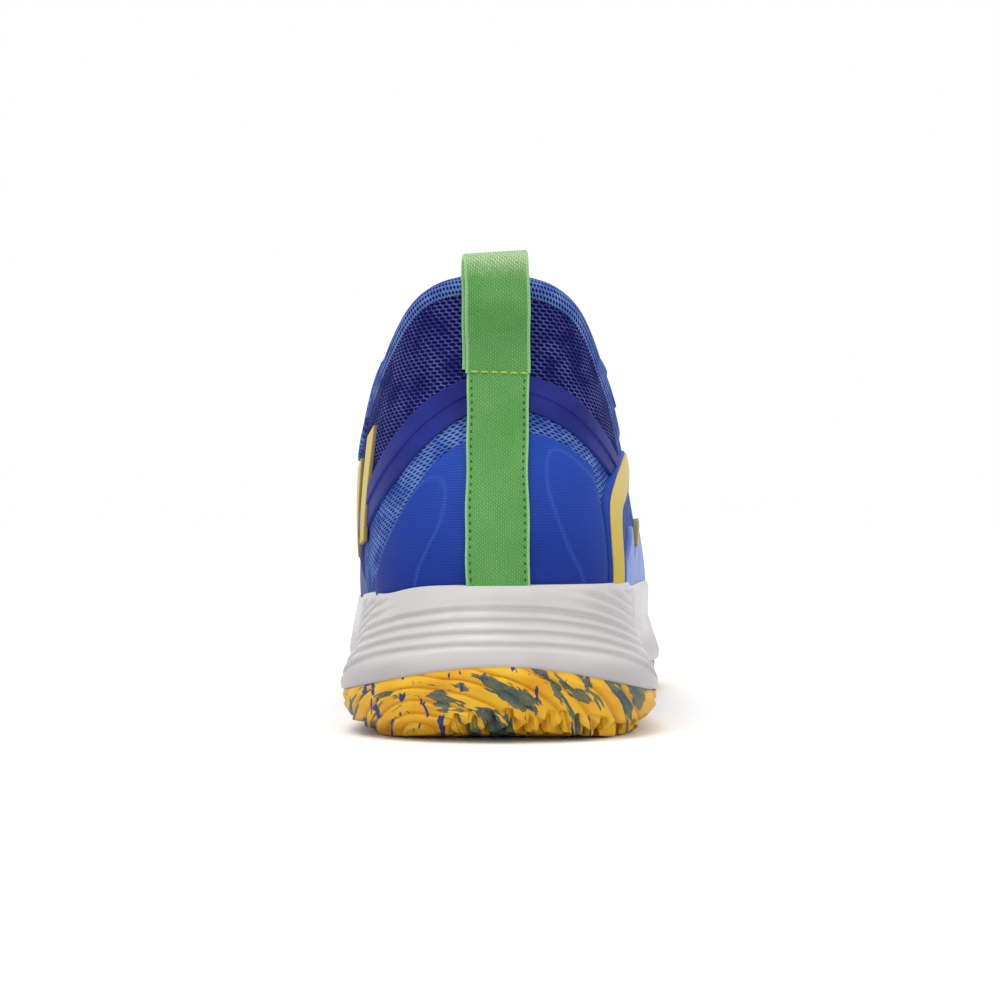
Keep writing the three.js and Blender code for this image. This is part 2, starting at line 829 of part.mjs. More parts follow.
const LOOP_HEIGHT = 114.2; // top of the folded loop
const LOOP_FOLD = 3.5; // radius of the fold, outside
const LOOP_LEAN = 4; // the fold stands this far behind the stitch line
const LOOP_ROOT = offUpper(0, STITCH_LEVEL, STRAP_OFFSET).add(new THREE.Vector3(0, 0, 0.6));

// The loop seen from the side, drawn in (y, z): its outside, or its inside where inset.
function loopOutline(inset) {
  const foldY = LOOP_ROOT.y - LOOP_LEAN;
  const foldZ = LOOP_HEIGHT - LOOP_FOLD;
  const radius = LOOP_FOLD - inset;
  const outline = new THREE.Path();
  outline.moveTo(LOOP_ROOT.y - 1.5 * WEBBING + inset * 0.8, LOOP_ROOT.z + inset);
  outline.lineTo(foldY - radius, foldZ - 12);
  outline.lineTo(foldY - radius, foldZ);
  outline.absarc(foldY, foldZ, radius, Math.PI, 0, true);
  outline.lineTo(foldY + radius, foldZ - 12);
  outline.lineTo(LOOP_ROOT.y + 0.8 * WEBBING - inset * 0.8, LOOP_ROOT.z + inset);
  return outline.getPoints(8);
}

function pullLoop() {
  const shape = new THREE.Shape(loopOutline(0));
  shape.holes.push(new THREE.Path(loopOutline(WEBBING * 0.75).reverse()));
  const solid = new THREE.ExtrudeGeometry(shape, { depth: WEBBING_WIDTH, bevelEnabled: false });
  // Turned upright, with its width along x.
  return solid
    .rotateX(Math.PI / 2)
    .rotateZ(Math.PI / 2)
    .translate(-WEBBING_WIDTH / 2 - MIDDLE_X, 0, 0);
}

// Tongue: arched sections along a centre line that rises out of the vamp.
const TONGUE_LINE = new THREE.SplineCurve(
  [
    [214, 59.5],
    [198, 66],
    [175, 76],
    [148, 86.5],
    [122, 94],
    [107, 103],
    [103.5, 109],
  ].map(([s, z]) => new THREE.Vector2(s, z)),
);
const TONGUE_SHAPE = new THREE.SplineCurve(
  [
    [11, 22],
    [16.5, 32],
    [21.5, 40],
    [25, 46],
    [25.5, 48],
    [23.5, 42],
    [18, 32],
  ].map(([halfWidth, angle]) => new THREE.Vector2(halfWidth, angle)),
);

function tongueSurface(a, b, depth, trim = 0) {
  const centre = TONGUE_LINE.getPoint(b);
  const tangent = TONGUE_LINE.getTangent(b);
  const out = new THREE.Vector2(-tangent.y, tangent.x).multiplyScalar(tangent.x < 0 ? -1 : 1);
  const { x: halfWidth, y: angle } = TONGUE_SHAPE.getPoint(b);
  const most = THREE.MathUtils.degToRad(angle);
  const radius = halfWidth / Math.sin(most);
  const turn = a * most * (1 - trim / halfWidth);
  const r = radius - depth;
  const down = radius - r * Math.cos(turn);
  return place(r * Math.sin(turn) - 0.5, centre.x - out.x * down, centre.y - out.y * down);
}

function tongueLayer(over, under, { from = 0, to = 1, side = 1, trim = 0, rows = 8 } = {}) {
  const grid = (depth) =>
    between(from, to, rows).map((b) =>
      between(-side, side, 6).map((a) => tongueSurface(a, b, depth, trim)),
    );
  return slab(grid(over), grid(under), false);
}

const tongueShell = () => tongueLayer(0, 1);
const tongueFoam = () => tongueLayer(1.7, 4.9, { from: 0.06, to: 0.97, trim: 2.5 });
const tongueLining = () => tongueLayer(5.6, 6.4);
const tongueLabel = () =>
  tongueLayer(-1.1, -0.4, { from: 0.86, to: 0.965, side: 0.36, rows: 2 });

// Lace: one round cord in straight bars over the throat, joined under the eyestays. Both ends
// go down through an eyelet and stay tucked in beside the tongue.
const LACE = 1.25; // radius
const LACE_TURN = 2; // radius of its turns over the eyelets
const ABOVE = overlay.over + LACE_TURN;
const BELOW = LINING_DEPTH + LINING + LACE_TURN;

function laceRoute() {
  const route = [];
  EYELETS.forEach((eyelet, row) => {
    const sides = row % 2 === 0 ? [1 - eyelet, eyelet] : [eyelet, 1 - eyelet];
    const [from, to] = sides;
    const over = [0.992, 0.992].map((v, i) => offUpper(sides[i], v, ABOVE - 0.2));
    route.push(
      offUpper(from, EYELET_LEVEL, -BELOW),
      offUpper(from, EYELET_LEVEL, ABOVE),
      ...over,
      offUpper(to, EYELET_LEVEL, ABOVE),
      offUpper(to, EYELET_LEVEL, -BELOW),
    );
  });
  const tuck = (u) => offUpper(u, EYELET_LEVEL - 0.13, -BELOW);
  return [tuck(1 - EYELETS[0] + 0.01), ...route, tuck(1 - EYELETS[5] - 0.01)];
}

// A path with its corners rounded off.
function rounded(corners, radius, steps) {
  const path = [corners[0]];
  for (let i = 1; i < corners.length - 1; i++) {
    const [before, corner, after] = corners.slice(i - 1, i + 2);
    const reach = (p) => Math.min(radius, 0.48 * p.distanceTo(corner));
    const start = corner.clone().add(before.clone().sub(corner).setLength(reach(before)));
    const end = corner.clone().add(after.clone().sub(corner).setLength(reach(after)));
    path.push(...new THREE.QuadraticBezierCurve3(start, corner, end).getPoints(steps));
  }
  return [...path, corners.at(-1)];
}

// A round cord along a path.
function cord(path, radius, sides = 6) {
  const tangents = path.map((p, i) =>
    path[Math.min(i + 1, path.length - 1)].clone().sub(path[Math.max(i - 1, 0)]).normalize(),
  );
  let side = new THREE.Vector3(0.3, 0.9, 0.2).cross(tangents[0]).normalize();
  const sections = path.map((p, i) => {
    side = side.addScaledVector(tangents[i], -side.dot(tangents[i])).normalize();
    const other = tangents[i].clone().cross(side);
    return between(0, 2 * Math.PI, sides)
      .slice(0, -1)
      .map((angle) =>
        p
          .clone()
          .addScaledVector(side, radius * Math.cos(angle))
          .addScaledVector(other, radius * Math.sin(angle)),
      );
  });
  return sweep(sections);
}

const lace = () => cord(rounded(laceRoute(), LACE_TURN, 3), LACE);

// Materials.
const paint = (color, roughness, metalness = 0) =>
  new THREE.MeshStandardMaterial({ color, roughness, metalness });
const LIGHT_MESH = paint(0x4a6cc4, 0.85);
const NAVY_MESH = paint(0x262f8c, 0.85);
const ROYAL_FILM = paint(0x2348b4, 0.45);
const DARK_FILM = paint(0x22289a, 0.4);
const YELLOW_FILM = paint(0xe0c468, 0.5);
const WHITE_FOAM = paint(0xe6e4e4, 0.6);
const GUM_RUBBER = paint(0xf2b233, 0.7);
const GREEN_WEBBING = paint(0x63b556, 0.8);
const LINING_FABRIC = paint(0x2b3a9a, 0.9);
const PLASTIC = paint(0x2f3f9c, 0.35);
const GREY_FOAM = paint(0xb9bcc4, 0.9);
const LACE_FABRIC = paint(0x3050b8, 0.85);

const shoe = new THREE.Group();
function add(name, geometry, material) {
  const mesh = new THREE.Mesh(geometry, material);
  mesh.name = name;
  shoe.add(mesh);
}

add("outsole_heel", heelOutsole(), GUM_RUBBER);
add("outsole_forefoot", forefootOutsole(), GUM_RUBBER);
add("torsion_plate", torsionPlate(), PLASTIC);
add("midsole", midsole(), WHITE_FOAM);
add("heel_cushion_insert", insert(HEEL_INSERT), GREEN_WEBBING);
add("forefoot_cushion_insert", insert(FOREFOOT_INSERT), GREEN_WEBBING);
add("lasting_board", lastingBoard(), GREY_FOAM);
add("sockliner_foam", sockliner(), GREY_FOAM);
add("sockliner_cover", socklinerCover(), LINING_FABRIC);
add("quarter_outer", outerQuarter(), LIGHT_MESH);
add("quarter_inner", innerQuarter(), LIGHT_MESH);
add("vamp", vamp(), LIGHT_MESH);
add("rear_collar_panel", collarPanel(), NAVY_MESH);
add("lining", lining(), LINING_FABRIC);
add("collar_foam", collarFoam(), GREY_FOAM);
add("collar_rim", collarRim(), LIGHT_MESH);
add("heel_counter", heelCounter(), PLASTIC);
add("toe_puff", toePuff(), PLASTIC);
add("toe_cap_overlay", toeCap(), ROYAL_FILM);
add("forefoot_overlay_outer", forefootOverlay(0.255, 0.402, 0.17), ROYAL_FILM);
add("forefoot_overlay_inner", forefootOverlay(0.598, 0.745, 0.15), ROYAL_FILM);
add("eyestay_outer", outerEyestay(), ROYAL_FILM);
add("eyestay_inner", innerEyestay(), ROYAL_FILM);
add("heel_counter_overlay", counterOverlay(), ROYAL_FILM);
add("arc_band_outer", arcBand(true), DARK_FILM);
add("arc_band_inner", arcBand(false), DARK_FILM);
add("stripe_outer", outerStripe(), YELLOW_FILM);
add("bar_inner_rear", innerBar(-0.112, 0.3, 0.76), YELLOW_FILM);
add("bar_inner_front", innerBar(-0.136, 0.28, 0.72), YELLOW_FILM);
add("heel_strap", heelStrap(), GREEN_WEBBING);
add("pull_loop", pullLoop(), GREEN_WEBBING);
add("tongue_shell", tongueShell(), NAVY_MESH);
add("tongue_foam", tongueFoam(), GREY_FOAM);
add("tongue_lining", tongueLining(), LINING_FABRIC);
add("tongue_label", tongueLabel(), YELLOW_FILM);
add("lace", lace(), LACE_FABRIC);

export default shoe;
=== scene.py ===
"""The looks of the court shoe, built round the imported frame.

Sizes are in millimetres until a mesh is made, in the frame that part.mjs uses: x across (outer
side positive), s along from the back of the heel, z up. Most pieces follow the lasted surface
upper(u, v): u runs round the foot (0 heel, 0.25 outer side, 0.5 toe, 0.75 inner side) and v up
the wall (0 at the sole, 1 at the collar and throat edge).
"""

import math

import bmesh
import bpy
import numpy as np
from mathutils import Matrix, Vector, kdtree


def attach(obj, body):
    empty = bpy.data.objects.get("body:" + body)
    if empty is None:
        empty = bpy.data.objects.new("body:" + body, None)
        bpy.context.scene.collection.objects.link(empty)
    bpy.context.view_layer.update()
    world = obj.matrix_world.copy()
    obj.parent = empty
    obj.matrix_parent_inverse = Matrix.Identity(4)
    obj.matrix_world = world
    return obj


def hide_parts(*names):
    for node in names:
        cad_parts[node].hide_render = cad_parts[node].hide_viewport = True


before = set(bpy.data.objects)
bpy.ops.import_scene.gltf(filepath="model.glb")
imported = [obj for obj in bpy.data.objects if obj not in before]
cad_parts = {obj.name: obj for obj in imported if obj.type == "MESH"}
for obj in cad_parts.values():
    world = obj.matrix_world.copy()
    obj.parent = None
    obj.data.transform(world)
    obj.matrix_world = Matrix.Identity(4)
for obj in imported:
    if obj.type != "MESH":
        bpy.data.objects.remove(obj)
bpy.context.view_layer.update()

# ---------------------------------------------------------------- driving sizes, as in the CAD
MIDDLE_X = 1.35  # the frame's origin in the last's own coordinates
MIDDLE_S = 148.1
SEAM = 0.0006  # half the gap between two panels, in u
GAP = 0.4  # clearance between parts that meet
SHELL = 1.2  # thickness of the mesh shell
OVERLAY = 0.9  # thickness of the films on it
FILM = 0.5 + OVERLAY  # a film's outer face above the shell
LINING = 0.9
LINING_DEPTH = 1.7  # the lining's outer face below the shell's
STIFFENED_DEPTH = 4.1  # the same beside the toe puff and the heel counter
COLLAR_PAD = 4.2  # thickness of the collar foam
BOARD = 1.5
FOOTBED = 4.6
SOCKLINER_INSET = 7.6
OUTSOLE = 5.2
ARCH_RISE = 5.0
TREAD_PITCH = 3.0
WEBBING_WIDTH = 15.1
WEBBING = 1.3
VAMP_FROM = 0.3  # u where the quarters meet the vamp
COLLAR_FROM = -0.158  # u range of the rear collar panel
COLLAR_TO = 0.128
STITCH_LEVEL = 0.755  # v where the pull loop is sewn down
LOOP_TOP = 114.2
LACE_TURN = 2  # radius of the lace's turns over the eyelets
EYELETS = np.linspace(0.287, 0.427, 6)
EYELET_LEVEL = 0.9
HALVINGS = 22  # steps of each search for a point on the wall

# Feather edge (x, s, z), collar and throat edge (x, s, z), and the handles of the wall.
STATIONS = [
    (0, 6.5, 27, -0.5, 13, 104.8, 26, 12, 26, -9),
    (20, 12.5, 27, 13.2, 16.5, 102, 25, 9, 25, -4),
    (30, 34, 26.5, 24, 31, 89.5, 22, 5, 20, 1),
    (32, 68, 25.5, 30, 58, 73.5, 18, 3.5, 14, 2),
    (32.5, 105, 24, 30.2, 88, 79.5, 20, 5, 16, 3.5),
    (36.5, 145, 21.5, 26.5, 116, 98.5, 22, 6, 18, 8),
    (43, 187, 19, 18.5, 150, 90.5, 22, 4.5, 15, 16),
    (42, 231, 19.5, 13, 179, 79.5, 21, 4, 12, 24),
    (28, 266, 22.5, 8.5, 197, 73, 21, 5, 11, 31),
    (-5, 289, 25, -1, 205, 70.2, 20, 5, 11, 38),
    (-30, 270, 22.5, -10.5, 197, 73, 21, 5, 11, 31),
    (-40, 238, 19.5, -15, 179, 79.5, 21, 4, 12, 24),
    (-41, 200, 19, -20.5, 150, 90.5, 22, 4, 15, 17),
    (-34.5, 158, 21.5, -30, 116, 99.5, 22, 5, 18, 8),
    (-29, 112, 24, -33.7, 88, 81, 20, 7, 16, 5),
    (-30.5, 70, 25.5, -33.5, 58, 74.5, 18, 5, 14, 2.5),
    (-30.5, 34, 26.5, -26.5, 31, 90.5, 22, 5, 20, 2),
    (-20, 12.5, 27, -14.4, 16.5, 102.5, 25, 9, 25, -4),
]
# The sole's widest outline (x, s), the height of its seam and of the midsole's top edge.
SOLE = [
    (0, 0, 17.5, 37),
    (24, 8, 15, 37),
    (38.5, 32, 10.6, 37),
    (40, 68, 10, 35.5),
    (39.5, 105, 11, 33.5),
    (43.5, 145, 11, 34.5),
    (49.5, 187, 10, 33.5),
    (48.5, 232, 11, 30),
    (32.5, 273, 16, 31),
    (-6, 298, 22, 33.5),
    (-35, 277, 16, 31),
    (-46, 240, 11, 29),
    (-47, 200, 10, 28.5),
    (-40, 158, 11, 30),
    (-35, 112, 12, 32),
    (-37, 70, 10, 33),
    (-39, 33, 10.8, 34),
    (-24.5, 8, 15, 36.5),
]
# Borders (u, v) of the arc bands, the heel film and the yellow stripe.
ARC_LOW = [
    (-0.2, 0.12), (-0.15, 0.2), (-0.102, 0.36), (-0.086, 0.42), (-0.056, 0.56),
    (-0.024, 0.64), (0.028, 0.65), (0.062, 0.612), (0.092, 0.536), (0.13, 0.44),
]
ARC_HIGH = [
    (-0.2, 0.26), (-0.15, 0.36), (-0.108, 0.512), (-0.092, 0.6), (-0.064, 0.7),
    (-0.028, 0.748), (0.03, 0.758), (0.07, 0.745), (0.106, 0.668), (0.13, 0.61),
]
COUNTER_TOP = [
    (-0.092, 0.06), (-0.082, 0.18), (-0.066, 0.324), (-0.054, 0.43), (-0.04, 0.515),
    (-0.02, 0.56), (0.03, 0.58), (0.05, 0.562), (0.071, 0.51),
]
STRIPE_LEFT = [
    (0.15, 0.8), (0.12, 0.63), (0.096, 0.5), (0.081, 0.4), (0.0755, 0.28), (0.0755, 0.15),
]
STRIPE_RIGHT = [
    (0.165, 0.78), (0.136, 0.6), (0.112, 0.47), (0.097, 0.39), (0.0905, 0.28), (0.0905, 0.15),
]


# ---------------------------------------------------------------- shape of the last
def smooth(low, high, x):
    """0 below low, 1 above high, smooth between."""
    t = np.clip((np.asarray(x, float) - low) / (high - low), 0, 1)
    return t * t * (3 - 2 * t)


def mix(a, b, t):
    return a + (b - a) * t


def unit(vectors):
    return vectors / np.maximum(np.linalg.norm(vectors, axis=-1, keepdims=True), 1e-9)


def ring(rows):
    """A closed curve through evenly spaced stations, smooth in curvature."""
    p = np.array(rows, float)
    controls = p - (np.roll(p, 1, 0) + np.roll(p, -1, 0) - 2 * p) / 6

    def at(t):
        x = (np.asarray(t, float) % 1) * len(p)
        k = np.floor(x).astype(int)
        f = (x - k)[..., None]
        weights = (
            (1 - f) ** 3 / 6,
            (3 * f**3 - 6 * f**2 + 4) / 6,
            (-3 * f**3 + 3 * f**2 + 3 * f + 1) / 6,
            f**3 / 6,
        )
        return sum(w * controls[(k + i - 1) % len(p)] for i, w in enumerate(weights))

    return at


station_at = ring(STATIONS)
sole_at = ring(SOLE)


def outward(curve, t):
    """The horizontal direction out of a ring."""
    d = curve(np.asarray(t) + 0.004) - curve(np.asarray(t) - 0.004)
    return unit(np.stack([d[..., 1], -d[..., 0]], -1))


def place(x, s, z):
    """A point of the last in the frame's own coordinates."""
    x, s, z = np.broadcast_arrays(x, s, z)
    return np.stack([x - MIDDLE_X, s - MIDDLE_S, z], -1).astype(float)


def upper(u, v):
    """A point of the lasted surface."""
    u, v = np.broadcast_arrays(np.asarray(u, float), np.asarray(v, float))
    q = station_at(u)
    foot, edge = q[..., 0:3], q[..., 3:6]
    out = outward(station_at, u)
    low, high = foot.copy(), edge.copy()
    low[..., :2] += out * q[..., 7:8]
    low[..., 2] += q[..., 6]
    high[..., :2] += out * q[..., 9:10]
    high[..., 2] -= q[..., 8]
    t = v[..., None]
    p = (1 - t) ** 3 * foot + 3 * (1 - t) ** 2 * t * low + 3 * (1 - t) * t * t * high + t**3 * edge
    return place(p[..., 0], p[..., 1], p[..., 2])


def upper_normal(u, v):
    """The outward direction of the lasted surface."""
    step = 0.004
    v = np.asarray(v, float)
    across = upper(u + step, v) - upper(u - step, v)
    up = upper(u, v + step) - upper(u, v - step)
    return unit(np.cross(across, up))


def off(u, v, distance):
    """A point at a distance outside the lasted surface."""
    return upper(u, v) + upper_normal(u, v) * np.asarray(distance, float)[..., None]


def level_of(u, z):
    """The v at which the wall reaches height z."""
    low = np.zeros(np.shape(u))
    high = np.ones(np.shape(u))
    for _ in range(HALVINGS):
        middle = (low + high) / 2
        below = upper(u, middle)[..., 2] < z
        low = np.where(below, middle, low)
        high = np.where(below, high, middle)
    return low


def outline(points, spread=0.008):
    """A smoothed height v over u, through a list of points."""
    xs, ys = np.array(points).T
    fine = np.linspace(xs[0] - 0.02, xs[-1] + 0.02, 801)
    raw = np.interp(fine, xs, ys)
    reach = np.arange(-60, 61)
    kernel = np.exp(-0.5 * (reach * (fine[1] - fine[0]) / spread) ** 2)
    padded = np.concatenate([np.full(60, raw[0]), raw, np.full(60, raw[-1])])
    soft = np.convolve(padded, kernel / kernel.sum(), mode="valid")
    return lambda u: np.interp(u, fine, soft)


def spline(points, t):
    """Catmull-Rom through points, t from 0 to 1."""
    p = np.array(points, float)
    x = np.clip(np.asarray(t, float), 0, 1) * (len(p) - 1)
    k = np.minimum(x.astype(int), len(p) - 2)
    f = (x - k)[..., None]
    a, b = p[np.maximum(k - 1, 0)], p[k]
    c, d = p[k + 1], p[np.minimum(k + 2, len(p) - 1)]
    m0, m1 = (c - a) / 2, (d - b) / 2
    return (
        (2 * f**3 - 3 * f**2 + 1) * b
        + (f**3 - 2 * f**2 + f) * m0
        + (-2 * f**3 + 3 * f**2) * c
        + (f**3 - f**2) * m1
    )


arc_low = outline(ARC_LOW)
arc_high = outline(ARC_HIGH)
counter_top = outline(COUNTER_TOP, 0.005)


def arc_middle(u):
    """The v where the two arc bands meet."""
    return (arc_low(u) + arc_high(u)) / 2


def lip_level(u):
    """The v of the midsole's top edge."""
    return level_of(u, sole_at(u)[..., 3] + 0.2)


def tucked(u):
    """A little below the midsole's lip, where the films end."""
    return lip_level(u) - 0.025


def lining_depth(u, v):
    """How deep the lining lies: deeper behind stiffeners and collar foam."""
    wrapped = np.abs(np.where(np.asarray(u) > 0.5, np.asarray(u) - 1, u))
    rear = 1 - smooth(0.19, 0.27, wrapped)
    low = 1 - (1 - rear) * smooth(0.5, 0.75, v)
    return mix(LINING_DEPTH, STIFFENED_DEPTH, low) + COLLAR_PAD * rear * smooth(0.42, 0.66, v)


# ---------------------------------------------------------------- meshes
def link(name, data):
    """A new object in the scene."""
    made = bpy.data.objects.new(name, data)
    bpy.context.scene.collection.objects.link(made)
    return made


def make_object(name, points, faces, uv=None, marks=None):
    """A smooth-shaded mesh from millimetre points. uv is per point, in millimetres."""
    mesh = bpy.data.meshes.new(name)
    mesh.from_pydata((np.asarray(points) / 1000).tolist(), [], [list(map(int, f)) for f in faces])
    mesh.validate()
    if uv is not None:
        layer = mesh.uv_layers.new(name="UVMap")
        corner = np.empty(len(mesh.loops), int)
        mesh.loops.foreach_get("vertex_index", corner)
        layer.data.foreach_set("uv", np.asarray(uv, float)[corner].ravel())
    for label, values in (marks or {}).items():
        layer = mesh.attributes.new(label, "FLOAT", "POINT")
        layer.data.foreach_set("value", np.asarray(values, float).ravel())
    mesh.polygons.foreach_set("use_smooth", [True] * len(mesh.polygons))
    mesh.set_sharp_from_angle(angle=math.radians(55))
    return link(name, mesh)


def facing_out(points, faces):
    """The faces, turned over if they face into the solid."""
    p = np.asarray(points)
    f = np.array([q[:3] for q in faces] + [(q[0], q[2], q[3]) for q in faces if len(q) == 4])
    volume = np.einsum("ij,ij->i", p[f[:, 0]], np.cross(p[f[:, 1]], p[f[:, 2]])).sum()
    return faces if volume > 0 else [q[::-1] for q in faces]


def quads_of(rows, columns, wrap=False, start=0):
    """The faces of a grid of points; if wrap, the last row joins the first."""
    i = np.arange(rows if wrap else rows - 1)[:, None]
    j = np.arange(columns - 1)[None, :]
    a = start + i * columns + j
    b = start + ((i + 1) % rows) * columns + j
    return np.stack([a, b, b + 1, a + 1], -1).reshape(-1, 4)


def slab(name, outer, inner, wrap=False, uv=None, marks=None):
    """A closed solid between two grids of points."""
    rows, columns = outer.shape[:2]
    count = rows * columns
    points = np.concatenate([outer.reshape(-1, 3), inner.reshape(-1, 3)])
    front = quads_of(rows, columns, wrap)
    faces = [front, quads_of(rows, columns, wrap, count)[:, ::-1]]
    i = np.arange(rows if wrap else rows - 1)
    n = ((i + 1) % rows) * columns
    for j in (0, columns - 1):
        side = np.stack([i * columns + j, n + j, n + j + count, i * columns + j + count], -1)
        faces.append(side[:, ::-1] if j == 0 else side)
    if not wrap:
        j = np.arange(columns - 1)
        for row in (0, rows - 1):
            a = row * columns + j
            side = np.stack([a, a + 1, a + 1 + count, a + count], -1)
            faces.append(side if row == 0 else side[:, ::-1])
    faces = facing_out(points, np.concatenate(faces).tolist())
    both = {k: np.concatenate([np.ravel(v), np.ravel(v)]) for k, v in (marks or {}).items()}
    if uv is not None:
        uv = np.concatenate([uv.reshape(-1, 2)] * 2)
    return make_object(name, points, faces, uv, both)


def sections(name, grid, uv):
    """A solid swept through closed sections grid[i, j], with a fan of triangles on each end."""
    rows, columns = grid.shape[:2]
    a = np.arange((rows - 1) * columns)
    j = a % columns
    b = a - j + (j + 1) % columns
    faces = np.stack([a, b, b + columns, a + columns], -1).tolist()
    last, tip = (rows - 1) * columns, rows * columns
    for j in range(columns):
        n = (j + 1) % columns
        faces.append([tip, n, j])
        faces.append([tip + 1, last + j, last + n])
    points = np.concatenate([grid.reshape(-1, 3), [grid[0].mean(0), grid[-1].mean(0)]])
    uv = np.concatenate([uv.reshape(-1, 2), [uv[0].mean(0), uv[-1].mean(0)]])
    return make_object(name, points, facing_out(points, faces), uv)


def lengths(points, axis):
    """Running lengths along one axis of a grid of points."""
    step = np.linalg.norm(np.diff(points, axis=axis), axis=-1)
    start = np.zeros_like(np.take(step, [0], axis=axis))
    return np.concatenate([start, np.cumsum(step, axis=axis)], axis=axis)


def stops(length, step, edge=0.0):
    """Fractions from 0 to 1 about step mm apart, and closer within edge mm of both ends."""
    even = np.linspace(0, 1, max(2, int(round(length / step))) + 1)
    if not edge:
        return even
    near = edge * np.array([0.06, 0.25, 0.55, 1.0]) / length
    middle = even[(even > near[-1] * 1.4) & (even < 1 - near[-1] * 1.4)]
    return np.concatenate([[0], near, middle, 1 - near[::-1], [1]])


def wall_grid(start, end, low, high, step, edge=0.0, corners=()):
    """u and v of a grid over the upper between the heights low(u) and high(u)."""
    probe = np.linspace(start, end, 60)
    length = lengths(upper(probe, (low(probe) + high(probe)) / 2), 0)[-1]
    us = start + (end - start) * stops(length, step[0], edge)
    us = np.sort(np.concatenate([us, corners]))
    tall = lengths(upper(us[:, None], np.linspace(0, 1, 9)[None, :]), 1)[:, -1]
    height = float(np.max(tall * (high(us) - low(us))))
    rows = stops(height, step[1], edge)
    v = low(us)[:, None] + (high(us) - low(us))[:, None] * rows[None, :]
    return us[:, None] + 0 * v, v


def unrolled(points, centre=0):
    """Millimetre coordinates over a grid of points, measured from one of its columns."""
    along = lengths(points, 0)
    along = along - along[centre : centre + 1]
    return np.stack([along, lengths(points, 1)], -1)


CLOTH_U = np.linspace(-0.5, 0.5, 401)
CLOTH_V = np.linspace(0, 1.12, 57)
CLOTH = unrolled(upper(CLOTH_U[:, None], CLOTH_V[None, :]), len(CLOTH_U) // 2)


def cloth_uv(u, v):
    """Millimetre coordinates that run on from one panel of the upper to the next."""
    fu = np.interp(u, CLOTH_U, np.arange(len(CLOTH_U)))
    fv = np.interp(v, CLOTH_V, np.arange(len(CLOTH_V)))
    i = np.minimum(fu.astype(int), len(CLOTH_U) - 2)
    j = np.minimum(fv.astype(int), len(CLOTH_V) - 2)
    a, b = (fu - i)[..., None], (fv - j)[..., None]
    low = CLOTH[i, j] * (1 - a) + CLOTH[i + 1, j] * a
    high = CLOTH[i, j + 1] * (1 - a) + CLOTH[i + 1, j + 1] * a
    return low * (1 - b) + high * b


def to_border(points):
    """The distance from each point of a grid to the grid's nearest border."""
    a, b = lengths(points, 0), lengths(points, 1)
    return np.minimum.reduce([a, a[-1:] - a, b, b[:, -1:] - b])


def rounding(distance, radius):
    """The height, 0 to 1, of a rounded edge at a distance from the border."""
    t = np.clip(distance / radius, 0, 1)
    return np.sqrt(np.maximum(1 - (1 - t) ** 2, 0))


SINK = 0.2  # how far the edge of a film is sunk


def film(name, u, v, base=0.35, thick=OVERLAY, radius=0.5):
    """A bonded film with rounded edges, lying on the shell."""
    points = upper(u, v)
    border = to_border(points)
    over = base - SINK + (thick + SINK) * rounding(border, radius)
    outer, inner = off(u, v, over), off(u, v, base - SINK - 0.25)
    return slab(name, outer, inner, uv=unrolled(points), marks={"border": border})


# ---------------------------------------------------------------- materials
LIGHT_LEVEL = 1.5


def rgb(r, g, b):
    """The linear colour that looks like these screen values under the studio's light."""
    c = np.array([r, g, b]) / 255
    linear = np.where(c <= 0.04045, c / 12.92, ((c + 0.055) / 1.055) ** 2.4)
    return (*(linear / LIGHT_LEVEL).tolist(), 1.0)


class Value:
    """A node's output that can be combined with numbers and other outputs."""

    def __init__(self, graph, socket):
        self.graph, self.socket = graph, socket

    def _with(self, operation, other, swap=False):
        pair = (other, self) if swap else (self, other)
        return self.graph.math(operation, *pair)

    def __add__(self, other):
        return self._with("ADD", other)

    def __sub__(self, other):
        return self._with("SUBTRACT", other)

    def __rsub__(self, other):
        return self._with("SUBTRACT", other, True)

    def __mul__(self, other):
        return self._with("MULTIPLY", other)

    def __truediv__(self, other):
        return self._with("DIVIDE", other)

    __radd__ = __add__
    __rmul__ = __mul__


